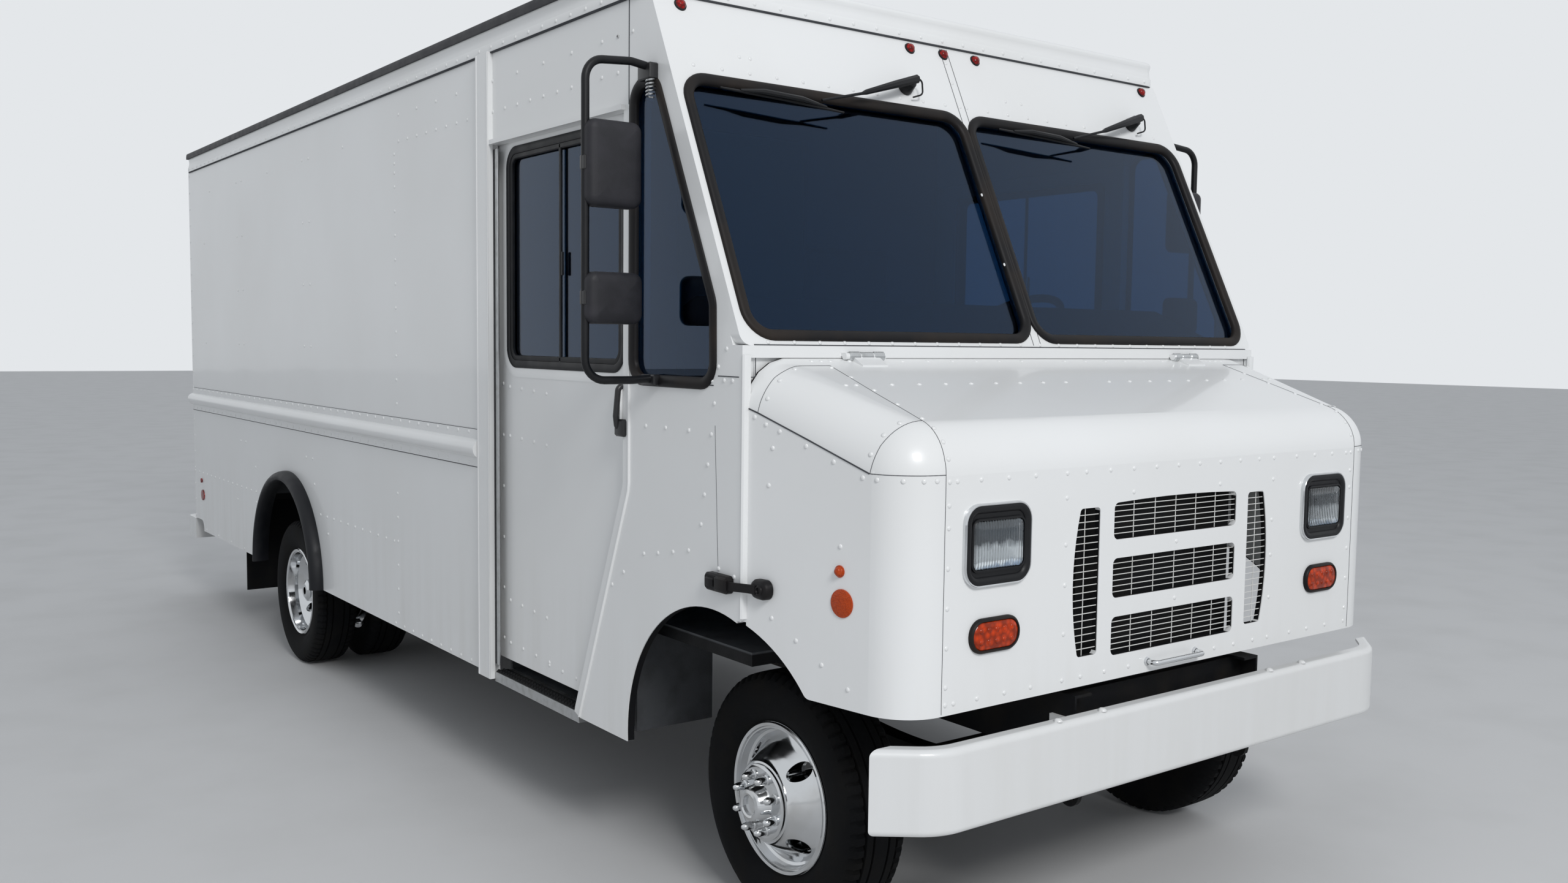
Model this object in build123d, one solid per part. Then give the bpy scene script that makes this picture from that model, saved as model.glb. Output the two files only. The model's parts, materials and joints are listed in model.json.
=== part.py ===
from build123d import *
import math
import os

# Walk-in step van with a riveted aluminium body on a ladder frame, millimetres.
# Frame: +Z up, the front of the van faces -Y, its left side is +X.
# Origin: middle of the whole van on the ground.

# Driving sizes of the whole van
overall_length = 7090
wheelbase = 4013
body_half_width = 1170
skin = 25
skirt_z = 474
wall_height = 2293
roof_rise = 113
front_bumper_depth = 75
rear_bumper_depth = 220
front_overhang = 780
hood_length = 575
doorway_setback = 590
doorway_width = 1003
running_gap = 5
seat_gap = 0.3

# Stations along the van and levels of its walls
front_y = -overall_length / 2
rear_y = overall_length / 2
nose_y = front_y + front_bumper_depth
front_axle_y = front_y + front_overhang
rear_axle_y = front_axle_y + wheelbase
body_rear_y = rear_y - rear_bumper_depth
cab_front_y = nose_y + hood_length
doorway_front_y = cab_front_y + doorway_setback
doorway_rear_y = doorway_front_y + doorway_width
side_inner = body_half_width - skin
roof_flange_z = skirt_z + wall_height
roof_top_z = roof_flange_z + roof_rise
past_side = body_half_width + 30
cut_over = 5

# Wheels and tyres
tyre_radius = 377
tyre_width = 212
tyre_wall = 14
rim_radius = 216
rim_width = 165
rim_thickness = 8
rim_flange = 7
rim_lip = 12
front_track_half = 838
twin_spacing = 292
rear_outer_x = body_half_width - 130
hub_radius = 62
spindle_radius = 30
spindle_gap = 0.05
stud_count = 8
stud_circle_radius = 82.5
stud_radius = 11
disc_radius = 140
hand_hole_circle_radius = 158
hand_hole_radius = 26
hand_hole_count = 4
drum_radius = 180

# Steering
kingpin_x = front_track_half - 133
kingpin_radius = 18
axle_boss_radius = 38
axle_beam_height = 80
axle_beam_width = 60
yoke_reach = 62
yoke_half_width = 36

# Frame and running gear
rail_outer_x = 430
rail_height = 190
rail_flange = 70
rail_wall = 8
rail_top_z = 770
rail_foot_z = rail_top_z - rail_height
rail_end_y = body_rear_y - 60
crossmember_size = 90
crossmember_foot_z = rail_foot_z + 40
crossmember_top_z = rail_top_z - rail_wall
engine_half_width = 280
engine_mount_y = cab_front_y - 205
outrigger_depth = 60
spring_width = 64
spring_thickness = 48
spring_rise = 90
axle_tube_radius = 62
diff_radius = 170
shaft_radius = 45

# Floor, step wells and wheel boxes
floor_top_z = 860
floor_thickness = 40
floor_foot_z = floor_top_z - floor_thickness
floor_edge_x = side_inner - 50
step_tread_z = 490
step_inner_x = floor_edge_x - 275
step_wall = 15
wheel_box_half_length = 470
wheel_box_top_z = 1010
wheel_box_inner_x = rear_outer_x - twin_spacing - tyre_width / 2 - 32
front_arch_inner_x = front_track_half - tyre_width / 2 - 112
passage_half = 330
passage_head_z = roof_flange_z - 167

# Crossmembers, then outriggers as (y, half length)
tail_member_offset = 1012
bay_members = [front_axle_y + offset for offset in (825, 2025, 3125)]
crossmember_ys = [
    nose_y + 55,
    *bay_members,
    rear_axle_y + tail_member_offset,
    rail_end_y - crossmember_size,
]
outrigger_lead = (200, 200, 100)
outrigger_reach = side_inner - 165
outriggers = [
    (bay_members[0] - outrigger_lead[0], step_inner_x - 40),
    (bay_members[1] - outrigger_lead[1], outrigger_reach),
    (bay_members[2] - outrigger_lead[2], outrigger_reach),
    (rear_axle_y + tail_member_offset + crossmember_size + 10, outrigger_reach),
    (body_rear_y - 265, outrigger_reach),
]
mud_flap_y = rear_axle_y + tail_member_offset + 38

# Doorway and sliding cab doors
doorway_head_z = roof_flange_z - 331
door_thickness = 32
door_outer_x = side_inner - running_gap
door_overlap = 24
door_foot_z = 545
door_travel = 880
door_knee_z = 1280
door_toe = 340
door_window_front_inset = 68
door_window_rear_inset = 54
door_window_foot_z = 1620
door_window_head_z = doorway_head_z - 31
door_window_corner = 40
door_grip_z = 1530
door_grip_height = 140
post_width = 93
post_depth = 20
track_height = 40
header_lip = 16

# Windscreen frame, in its own slanted plane
screen_foot_z = 1726
screen_foot_y = cab_front_y - 13
screen_rake = 25.27
screen_frame_depth = 40
slope_length = (roof_flange_z - screen_foot_z) / math.cos(math.radians(screen_rake))
pillar_radius = 30
pane_inner_x = 18
pane_outer_x = body_half_width - 42
pane_foot = 34
pane_head = 293
pane_height = slope_length - pane_foot - pane_head
pane_corner = 75
glass_thickness = 6
wiper_pivot_rise = 87
wiper_pivot_xs = (-240, 920)

# Quarter window in the cab side, as distances from the doorway and the screen
quarter_rear_inset = 20
quarter_foot_z = 1618
quarter_elbow_rise = 223
quarter_head_z = roof_flange_z - 267
quarter_screen_inset = 42
quarter_corner = 45

# Wheel arches
front_arch_radius = 470
front_arch_z = 508
rear_arch_radius = 520
rear_arch_z = 480
flare_width = 50
flare_stand = 26

# Hood: its sides taper to the nose and its top slopes down to it
hood_nose_half = body_half_width - 107
hood_side_taper = 0.169
hood_nose_top_z = 1508
hood_top_slope = 0.325
hood_radius = 140
hood_skin = 18
hood_foot_z = 795
hood_rear_gap = 25
hood_rear_y = cab_front_y - hood_rear_gap
hood_arch_radius = front_arch_radius + 4
hood_arch_corner = 25
hood_arch_inner_x = hood_nose_half - 263
cowl_foot_z = 1692
cowl_depth = 15
cab_strip_width = 22
firewall_depth = 30
hood_hinge_y = cab_front_y - 30
hood_hinge_z = 1697
hood_hinge_radius = 10
hood_pin_radius = 4
hood_hinge_x = 750
hood_hinge_half = 48
hood_knuckle = 27
hood_leaf = 50
hood_leaf_thickness = 4
handle_x = -24
handle_half = 133
handle_z = 831
radiator_y = nose_y + 75
radiator_top_z = 1290

# Grille openings: x from, x to, foot z, head z, bow of the head, bow of the outer side, corner, rows, columns
grille_slots = [
    (-286, 286, 1194, 1298, 7, 0, 18, 6, 5),
    (-286, 286, 1028, 1141, 0, 0, 18, 6, 5),
    (-286, 286, 864, 974, 0, 0, 18, 6, 5),
    (-427, -346, 878, 1291, 0, 26, 12, 20, 2),
    (346, 427, 878, 1291, 0, 26, 12, 20, 2),
]
grille_depth = 5
grille_wire = 3
grille_border = 12

# Lamps on the nose
headlamp_x = hood_nose_half - 309
headlamp_z = 1223
headlamp_width = 244
headlamp_height = 216
headlamp_corner = 45
headlamp_depth = 26
headlamp_recess = 12
headlamp_lens_width = 204
headlamp_lens_height = 146
indicator_x = hood_nose_half - 306
indicator_z = 986
indicator_width = 178
indicator_height = 88
indicator_depth = 14

# Front bumper
bumper_half_width = body_half_width - 30
bumper_foot_z = 512
bumper_head_z = 734
bumper_wall = 8
bumper_wrap = 115
bumper_flange = 42
bumper_sweep = 38
bumper_bend = 180
bumper_edge = 18
bumper_bracket = 12

# Tow eyes under the horns of the frame
tow_plate = 16
tow_pin_radius = 21
tow_eye_y = front_y + 113
tow_eye_z = bumper_foot_z - tow_pin_radius - 12
tow_eye_radius = 36

# Rear bumper and the notch in the body's rear corners
rear_bumper_foot_z = 402
rear_bumper_head_z = 534
rear_bumper_wall = 8
rear_bumper_corner = 60
rear_notch_length = 218
rear_notch_z = 541
rear_notch_radius = 55

# Rear doors
rear_door_foot_z = 840
rear_frame_depth = body_rear_y - rail_end_y
rear_door_head_z = roof_flange_z - 127
rear_door_thickness = 35
rear_post_inner_x = side_inner - 33
rear_window_width = 560
rear_window_height = 480
rear_window_z = rear_door_head_z - 660
hinge_pin_radius = 6
hinge_barrel_radius = 12
hinge_height = 90
hinge_cap = 20
hinge_levels = [rear_door_foot_z + 180, (rear_door_foot_z + rear_door_head_z) / 2, rear_door_head_z - 180]

# Mirrors
mirror_y = cab_front_y + 440
mirror_tube_x = body_half_width + 235
mirror_tube_radius = 12
mirror_top_z = roof_flange_z - 237
mirror_foot_z = quarter_foot_z + 2
mirror_head_width = 182
mirror_head_depth = 65
mirror_upper_height = 250
mirror_lower_height = 152

# Belt rail along the cargo sides
belt_foot_z = 1249
belt_head_z = 1390
belt_bead_z = 1318
belt_bead_radius = 36
belt_flange = 4

# Dash: its section as distances behind the firewall and heights
dash_outline = [(0, 1380), (0, 1700), (20, 1736), (330, 1870), (400, 1840), (380, 1480), (150, 1380)]
dash_inset = 20

# Seat and steering wheel
seat_x = 480
seat_y = cab_front_y + 1025
seat_half_width = 240
seat_length = 480
seat_base_top_z = 1330
seat_cushion = 120
seat_back_top_z = 2165
seat_back_depth = 110
seat_corner = 35
wheel_hub_x = 460
wheel_hub_y = cab_front_y + 565
wheel_hub_z = 1787
steering_radius = 215
column_length = 330


def box_at(x0, x1, y0, y1, z0, z1):
    """A box between two corners."""
    return Pos((x0 + x1) / 2, (y0 + y1) / 2, (z0 + z1) / 2) * Box(abs(x1 - x0), abs(y1 - y0), abs(z1 - z0))


def side_plate(outline, x0, x1, corner=0):
    """A plate in the YZ plane from x0 to x1; its outline is a list of (y, z), its corners rounded."""
    face = Polygon(*outline, align=None)
    if corner:
        face = fillet(face.vertices(), corner)
    return extrude(Plane.YZ.offset(x0) * face, amount=x1 - x0, dir=(1, 0, 0))


def cylinder_x(x0, x1, y, z, radius):
    """A round bar along X."""
    return Pos((x0 + x1) / 2, y, z) * Rot(0, 90, 0) * Cylinder(radius, abs(x1 - x0))


def cylinder_y(x, y0, y1, z, radius):
    """A round bar along Y."""
    return Pos(x, (y0 + y1) / 2, z) * Rot(90, 0, 0) * Cylinder(radius, abs(y1 - y0))


def both_sides(shape):
    """A right-hand piece with its mirror image on the left."""
    return Compound(children=[shape, mirror(shape, Plane.YZ)])


def write(node, *shapes):
    """Writes one sub-part, each solid apart."""
    solids = []
    for shape in shapes:
        solids.extend(shape.solids())
    part = solids[0] if len(solids) == 1 else Compound(children=solids)
    export_step(part, f"parts/{node}.step")
    print(node, len(solids), "solids")


def screen_plane():
    """The outer plane of the windscreen frame: X across, Y up the slope, Z outwards."""
    slope = math.radians(screen_rake)
    return Plane(
        origin=(0, screen_foot_y, screen_foot_z),
        x_dir=(1, 0, 0),
        z_dir=(0, -math.cos(slope), math.sin(slope)),
    )


def screen_y(z, depth=0):
    """Where the windscreen frame lies at height z, at a depth behind its outer face."""
    slope = math.radians(screen_rake)
    return screen_foot_y + (z - screen_foot_z) * math.tan(slope) + depth / math.cos(slope)


def quarter_outline(inset):
    """The quarter window's outline, smaller by inset all round."""
    rear = doorway_front_y - quarter_rear_inset - inset
    foot = quarter_foot_z + inset
    head = quarter_head_z - inset
    lean = screen_frame_depth + quarter_screen_inset + inset
    elbow_z = quarter_foot_z + quarter_elbow_rise
    return [
        (rear, foot),
        (rear, head),
        (screen_y(head, lean), head),
        (screen_y(elbow_z, lean), elbow_z),
        (screen_y(elbow_z, lean) - 4, foot),
    ]


def cargo_sides():
    """The long riveted side walls with the rear wheel arches and the rounded notch over the rear bumper."""
    wall = box_at(-body_half_width, -side_inner, doorway_rear_y, body_rear_y, skirt_z, roof_flange_z)
    wall -= cylinder_x(-past_side, -side_inner + cut_over, rear_axle_y, rear_arch_z, rear_arch_radius)
    notch = box_at(
        -past_side,
        -side_inner + cut_over,
        body_rear_y - rear_notch_length,
        body_rear_y + rear_notch_radius * 2,
        skirt_z - rear_notch_radius * 2,
        rear_notch_z,
    )
    inner_edge = notch.edges().filter_by(Axis.X).sort_by(Axis.Y)[:2].sort_by(Axis.Z)[-1]
    return both_sides(wall - fillet(inner_edge, rear_notch_radius))


def wheel_flares():
    """Black rubber lips round the rear arches."""
    x_out = -body_half_width - flare_stand
    ring = cylinder_x(x_out, -body_half_width, rear_axle_y, rear_arch_z, rear_arch_radius + flare_width)
    ring -= cylinder_x(x_out - 1, -body_half_width + 1, rear_axle_y, rear_arch_z, rear_arch_radius)
    reach = rear_arch_radius + flare_width + 50
    keep = box_at(
        x_out - 1,
        -body_half_width + 1,
        rear_axle_y - reach,
        rear_axle_y + reach,
        skirt_z,
        rear_arch_z + reach,
    )
    return both_sides(ring & keep)


def roof():
    """The roof cap: one shell with rolled edges and a flange that sits on the walls."""
    overhang = 8
    plan_corner = 60
    roll = roof_rise * 0.8
    front = screen_y(roof_flange_z) - overhang
    outer = box_at(
        -body_half_width - overhang,
        body_half_width + overhang,
        front,
        body_rear_y + overhang,
        roof_flange_z,
        roof_top_z,
    )
    outer = fillet(outer.edges().filter_by(Axis.Z), plan_corner)
    outer = fillet(outer.faces().sort_by(Axis.Z)[-1].edges(), roll)
    front_wall = skin + overhang + 15
    inner = box_at(
        -body_half_width + skin,
        body_half_width - skin,
        front + front_wall,
        body_rear_y - skin,
        roof_flange_z - 1,
        roof_top_z - skin,
    )
    inner = fillet(inner.faces().sort_by(Axis.Z)[-1].edges(), roll / 2)
    return outer - inner


def screen_frame():
    """The slanted front panel with rounded pillars and its two windscreen openings."""
    outline = [
        (screen_y(screen_foot_z), screen_foot_z),
        (screen_y(roof_flange_z), roof_flange_z),
        (screen_y(roof_flange_z, screen_frame_depth), roof_flange_z),
        (screen_y(screen_foot_z, screen_frame_depth), screen_foot_z),
    ]
    slab = side_plate(outline, -body_half_width, body_half_width)
    front = slab.faces().sort_by(Axis.Y)[0]
    pillars = [edge for edge in front.edges() if abs(edge.center().X) > body_half_width - 1]
    slab = fillet(pillars, pillar_radius)
    plane = screen_plane()
    for side in (-1, 1):
        slab -= extrude(plane * pane_face(side, 0), amount=screen_frame_depth * 2, both=True)
    return slab


def pane_face(side, grow):
    """One windscreen pane's outline in the screen plane, larger by grow all round."""
    width = pane_outer_x - pane_inner_x + 2 * grow
    height = pane_height + 2 * grow
    centre_x = side * (pane_outer_x + pane_inner_x) / 2
    centre_y = pane_foot + pane_height / 2
    return Pos(centre_x, centre_y) * RectangleRounded(width, height, pane_corner + grow)


def cab_glass():
    """Two windscreen panes and two quarter panes, set half way into their openings."""
    plane = screen_plane().offset(-screen_frame_depth / 2)
    panes = [extrude(plane * pane_face(side, -seat_gap), amount=-glass_thickness) for side in (-1, 1)]
    quarter_x = -body_half_width + skin / 2
    quarter = side_plate(quarter_outline(seat_gap), quarter_x, quarter_x + glass_thickness, quarter_corner)
    return panes + [both_sides(quarter)]


def cab_sides():
    """Cab side panels: quarter window above, wheel arch cut below, rear edge slanted to the step."""
    outline = [
        (cab_front_y, skirt_z),
        (cab_front_y, screen_foot_z),
        (screen_y(screen_foot_z, screen_frame_depth), screen_foot_z),
        (screen_y(roof_flange_z, screen_frame_depth), roof_flange_z),
        (doorway_front_y, roof_flange_z),
        (doorway_front_y, door_knee_z),
        (doorway_front_y + door_toe - 17, skirt_z),
    ]
    panel = side_plate(outline, -body_half_width, -side_inner)
    panel -= side_plate(quarter_outline(0), -past_side, -side_inner + cut_over, quarter_corner)
    panel -= cylinder_x(-past_side, -side_inner + cut_over, front_axle_y, front_arch_z, front_arch_radius)
    low_front = box_at(
        -past_side,
        -side_inner + cut_over,
        cab_front_y - cut_over,
        front_axle_y,
        skirt_z - cut_over,
        front_arch_z,
    )
    return both_sides(panel - low_front)


def cab_front():
    """The firewall between hood and cab, with the cowl band across its top and a strip down each corner."""
    arch_top = front_arch_z + front_arch_radius
    front = cab_front_y - cowl_depth
    back = cab_front_y + firewall_depth
    wall = box_at(-side_inner, side_inner, cab_front_y, back, floor_top_z, screen_foot_z)
    wall += box_at(-body_half_width, body_half_width, front, cab_front_y, cowl_foot_z, screen_foot_z)
    for side in (-1, 1):
        wall -= box_at(
            side * front_arch_inner_x,
            side * past_side,
            cab_front_y - cut_over,
            back + cut_over,
            floor_foot_z,
            arch_top,
        )
        wall += box_at(
            side * (body_half_width - cab_strip_width),
            side * body_half_width,
            front,
            cab_front_y,
            arch_top - 12,
            cowl_foot_z,
        )
        wall += hood_hinge_pin(side * hood_hinge_x)
    return wall


def hood_hinge_pin(x):
    """The fixed half of a hood hinge: a pin with a knuckle at each end, on the cowl's face."""
    reach = hood_hinge_half + hood_knuckle
    pin = cylinder_x(x - reach, x + reach, hood_hinge_y, hood_hinge_z, hood_pin_radius)
    for end in (-1, 1):
        x0 = x + end * (hood_hinge_half + seat_gap)
        x1 = x + end * reach
        pin += cylinder_x(x0, x1, hood_hinge_y, hood_hinge_z, hood_hinge_radius)
        pin += box_at(
            x0,
            x1,
            hood_hinge_y,
            cab_front_y - cowl_depth,
            hood_hinge_z,
            hood_hinge_z + hood_hinge_radius,
        )
    return pin


def hood_hinge_barrel(x):
    """The hood's half of a hinge: a barrel round the pin with a leaf that lies on the hood."""
    x0 = x - hood_hinge_half
    x1 = x + hood_hinge_half
    leaf_y = hood_hinge_y - hood_leaf
    leaf = [
        (leaf_y, hood_top(leaf_y) - hood_leaf_thickness),
        (leaf_y, hood_top(leaf_y) + hood_leaf_thickness),
        (hood_hinge_y, hood_hinge_z + hood_leaf_thickness),
        (hood_hinge_y, hood_top(hood_hinge_y) - hood_leaf_thickness),
    ]
    barrel = cylinder_x(x0, x1, hood_hinge_y, hood_hinge_z, hood_hinge_radius) + side_plate(leaf, x0, x1)
    reach = hood_hinge_half * 3
    barrel -= cylinder_x(x - reach, x + reach, hood_hinge_y, hood_hinge_z, hood_pin_radius + spindle_gap)
    return barrel


def door_surrounds():
    """Header panel with its drip lip, rear post strip and the overhead track of each sliding door."""
    header = box_at(
        -body_half_width,
        -side_inner,
        doorway_front_y,
        doorway_rear_y,
        doorway_head_z,
        roof_flange_z,
    )
    header += box_at(
        -body_half_width - header_lip,
        -body_half_width,
        doorway_front_y + 30,
        doorway_rear_y - 10,
        doorway_head_z,
        doorway_head_z + header_lip,
    )
    post = box_at(
        -body_half_width - post_depth,
        -body_half_width,
        doorway_rear_y - 10,
        doorway_rear_y + post_width,
        skirt_z - 11,
        roof_flange_z,
    )
    door_head = doorway_head_z + door_overlap
    track = box_at(
        -side_inner,
        -door_outer_x + door_thickness + running_gap,
        doorway_front_y - 30,
        doorway_rear_y + door_travel + 40,
        door_head + seat_gap,
        door_head + track_height,
    )
    return both_sides(header + post + track)


def cab_door():
    """The right-hand sliding door: flat panel, window opening, pull handle, slanted front foot."""
    front = doorway_front_y - door_overlap
    rear = doorway_rear_y + door_overlap
    head = doorway_head_z + door_overlap
    outline = [
        (front + door_toe, door_foot_z),
        (front, door_knee_z),
        (front, head),
        (rear, head),
        (rear, door_foot_z),
    ]
    inner_x = -door_outer_x + door_thickness
    panel = side_plate(outline, -door_outer_x, inner_x)
    opening = side_plate(door_window_outline(0), -door_outer_x - cut_over, inner_x + cut_over, door_window_corner)
    panel -= opening
    grip_y0 = doorway_front_y + 40
    grip_y1 = grip_y0 + 30
    grip_stand = 42
    foot = door_grip_z - door_grip_height / 2
    head = door_grip_z + door_grip_height / 2
    grip = box_at(-door_outer_x - grip_stand, -door_outer_x - grip_stand + 14, grip_y0, grip_y1, foot, head)
    for z in (foot, head - 20):
        grip += box_at(-door_outer_x - grip_stand, -door_outer_x, grip_y0, grip_y1, z, z + 20)
    return panel + grip


def door_window_outline(inset):
    """The door window's outline, smaller by inset all round."""
    front = doorway_front_y + door_window_front_inset + inset
    rear = doorway_rear_y - door_window_rear_inset - inset
    foot = door_window_foot_z + inset
    head = door_window_head_z - inset
    return [(front, foot), (front, head), (rear, head), (rear, foot)]


def door_glass():
    """The door's pane, in the middle of the panel."""
    x0 = -door_outer_x + (door_thickness - glass_thickness) / 2
    return side_plate(door_window_outline(seat_gap), x0, x0 + glass_thickness, door_window_corner)


def floor():
    """Cab and cargo floor in one, with the step wells and the rear wheel boxes."""
    travel_end = doorway_rear_y + door_travel + 40
    well_front = doorway_front_y + 90
    tread_foot = step_tread_z - step_wall
    slab = box_at(-floor_edge_x, floor_edge_x, cab_front_y + firewall_depth, travel_end, floor_foot_z, floor_top_z)
    slab += box_at(-side_inner, side_inner, travel_end, body_rear_y - rear_frame_depth, floor_foot_z, floor_top_z)
    for side in (-1, 1):
        inner_x = side * step_inner_x
        wall_x = side * (step_inner_x - step_wall)
        outer_x = side * floor_edge_x
        slab -= box_at(
            inner_x,
            side * past_side,
            well_front,
            doorway_rear_y,
            floor_foot_z - cut_over,
            floor_top_z + cut_over,
        )
        slab += box_at(inner_x, outer_x, well_front, doorway_rear_y, tread_foot, step_tread_z)
        slab += box_at(wall_x, inner_x, well_front, doorway_rear_y, tread_foot, floor_top_z)
        slab += box_at(wall_x, outer_x, well_front - step_wall, well_front, tread_foot, floor_top_z)
        slab += box_at(wall_x, outer_x, doorway_rear_y, doorway_rear_y + step_wall, tread_foot, floor_top_z)
        slab += wheel_box(side)
        slab -= wheel_box_inside(side)
    return slab


def wheel_box(side):
    """The outside of the box over a rear wheel."""
    return box_at(
        side * wheel_box_inner_x,
        side * side_inner,
        rear_axle_y - wheel_box_half_length,
        rear_axle_y + wheel_box_half_length,
        floor_foot_z,
        wheel_box_top_z,
    )


def wheel_box_inside(side):
    """The room that a wheel box leaves for the tyres."""
    wall = 15
    return box_at(
        side * (wheel_box_inner_x + wall),
        side * past_side,
        rear_axle_y - wheel_box_half_length + wall,
        rear_axle_y + wheel_box_half_length - wall,
        floor_foot_z - cut_over,
        wheel_box_top_z - wall,
    )


def step_nosings():
    """Aluminium sills along the doorways."""
    nosing = box_at(
        -body_half_width,
        -floor_edge_x,
        doorway_front_y + door_toe - 10,
        doorway_rear_y - 12,
        step_tread_z - 36,
        step_tread_z,
    )
    return both_sides(nosing)


def bulkhead():
    """The wall between cab and load space, with a walk-through doorway."""
    front = doorway_rear_y + 60
    wall = box_at(-floor_edge_x, floor_edge_x, front, front + skin, floor_top_z, roof_flange_z)
    passage = box_at(
        -passage_half,
        passage_half,
        front - cut_over,
        front + skin + cut_over,
        floor_top_z - 1,
        passage_head_z,
    )
    return wall - passage


def rear_frame():
    """Rear corner posts, header and sill, with the pins of the rear door hinges."""
    front = body_rear_y - rear_frame_depth
    frame = box_at(-side_inner, side_inner, front, body_rear_y, rear_notch_z, roof_flange_z)
    frame -= box_at(
        -rear_post_inner_x,
        rear_post_inner_x,
        front - cut_over,
        body_rear_y + cut_over,
        rear_door_foot_z - running_gap,
        rear_door_head_z + running_gap,
    )
    pin_y = body_rear_y + hinge_barrel_radius + 1
    full = hinge_height + 2 * hinge_cap
    for side in (-1, 1):
        x = side * rear_post_inner_x
        for level in hinge_levels:
            pin = Pos(x, pin_y, level) * Cylinder(hinge_pin_radius, full)
            cap = Pos(x, pin_y, level) * Cylinder(hinge_barrel_radius, full)
            cap -= Pos(x, pin_y, level) * Cylinder(2 * hinge_barrel_radius, hinge_height + 2 * seat_gap)
            leaf = box_at(
                side * (rear_post_inner_x + 4),
                side * side_inner,
                body_rear_y,
                body_rear_y + 14,
                level - full / 2,
                level + full / 2,
            )
            leaf -= box_at(
                side * (rear_post_inner_x - 20),
                side * past_side,
                body_rear_y,
                body_rear_y + 30,
                level - hinge_height / 2 - seat_gap,
                level + hinge_height / 2 + seat_gap,
            )
            frame += pin + cap + leaf
    return frame


def rear_door(side):
    """One rear door with its window opening and hinge barrels."""
    y0 = body_rear_y - rear_door_thickness
    panel = box_at(side * 3, side * (rear_post_inner_x - 7), y0, body_rear_y, rear_door_foot_z, rear_door_head_z)
    panel -= rear_window(side, 0, y0 - cut_over, body_rear_y + cut_over)
    pin_y = body_rear_y + hinge_barrel_radius + 1
    for level in hinge_levels:
        barrel = Pos(side * rear_post_inner_x, pin_y, level) * Cylinder(hinge_barrel_radius, hinge_height)
        barrel += box_at(
            side * (rear_post_inner_x - 45),
            side * rear_post_inner_x,
            body_rear_y,
            body_rear_y + 8,
            level - hinge_height / 2,
            level + hinge_height / 2,
        )
        barrel -= Pos(side * rear_post_inner_x, pin_y, level) * Cylinder(
            hinge_pin_radius + spindle_gap, hinge_height + 2
        )
        panel += barrel
    return panel


def rear_window(side, inset, y0, y1):
    """A rear door window's opening or pane between two planes."""
    width = rear_window_width - 2 * inset
    height = rear_window_height - 2 * inset
    face = Pos(side * (rear_post_inner_x / 2 - 6), rear_window_z) * RectangleRounded(width, height, 40)
    return extrude(Plane.XZ.offset(-y1) * face, amount=y1 - y0)


def hood_half(y, inset=0):
    """Half the width of the hood's form at y."""
    return hood_nose_half + hood_side_taper * (y - nose_y) - inset * math.hypot(1, hood_side_taper)


def hood_top(y, inset=0):
    """The height of the hood's form at y."""
    return hood_nose_top_z + hood_top_slope * (y - nose_y) - inset * math.hypot(1, hood_top_slope)


def hood_solid(inset):
    """The hood's outer form, or its inner form when inset: tapered, with every upper edge rolled."""
    front = nose_y + inset
    rear = hood_rear_y
    foot = hood_foot_z
    if inset:
        rear += hood_rear_gap * 8
        foot -= hood_radius
    nose_half = hood_half(front, inset)
    rear_half = hood_half(rear, inset)
    side = [(front, foot), (front, hood_top(front, inset)), (rear, hood_top(rear, inset)), (rear, foot)]
    plan = Polygon((-nose_half, front), (nose_half, front), (rear_half, rear), (-rear_half, rear), align=None)
    body = extrude(Plane.XY.offset(foot) * plan, amount=hood_top(rear) - foot)
    body = body & side_plate(side, -past_side, past_side)
    nose = body.faces().sort_by(Axis.Y)[0]
    top = body.faces().sort_by(Axis.Z)[-1]
    rolled = [edge for edge in nose.edges() if edge.center().Z > hood_foot_z]
    rolled += [edge for edge in top.edges() if abs(edge.center().X) > nose_half - 1]
    return fillet(rolled, hood_radius - inset)


def hood_arch(side):
    """What the wheel arch takes from the hood's side, its front corner rounded."""
    inner_x = side * hood_arch_inner_x
    outer_x = side * past_side
    arch = cylinder_x(inner_x, outer_x, front_axle_y, front_arch_z, hood_arch_radius)
    arch += box_at(inner_x, outer_x, front_axle_y - cut_over, 0, 0, front_arch_z + 100)
    centre_z = hood_foot_z + hood_arch_corner
    reach = math.sqrt((hood_arch_radius + hood_arch_corner) ** 2 - (centre_z - front_arch_z) ** 2)
    centre_y = front_axle_y - reach
    touch = hood_arch_radius / (hood_arch_radius + hood_arch_corner)
    touch_y = front_axle_y - reach * touch
    touch_z = front_arch_z + (centre_z - front_arch_z) * touch
    wedge = [(centre_y, centre_z), (centre_y, 0), (front_axle_y, 0), (front_axle_y, front_arch_z), (touch_y, touch_z)]
    arch += side_plate(wedge, min(inner_x, outer_x), max(inner_x, outer_x))
    return arch - cylinder_x(inner_x - side, outer_x + side, centre_y, centre_z, hood_arch_corner)


def hood_shell():
    """The one-piece nose: tapered rolled form, arches, grille openings and hinge barrels."""
    shell = hood_solid(0) - hood_solid(hood_skin)
    for side in (-1, 1):
        shell -= hood_arch(side)
        shell += hood_hinge_barrel(side * hood_hinge_x)
    for slot in grille_slots:
        shell -= extrude(
            Plane.XZ.offset(-nose_y + cut_over) * grille_outline(*slot[:7]), amount=-hood_skin - 2 * cut_over
        )
    return shell


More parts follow.
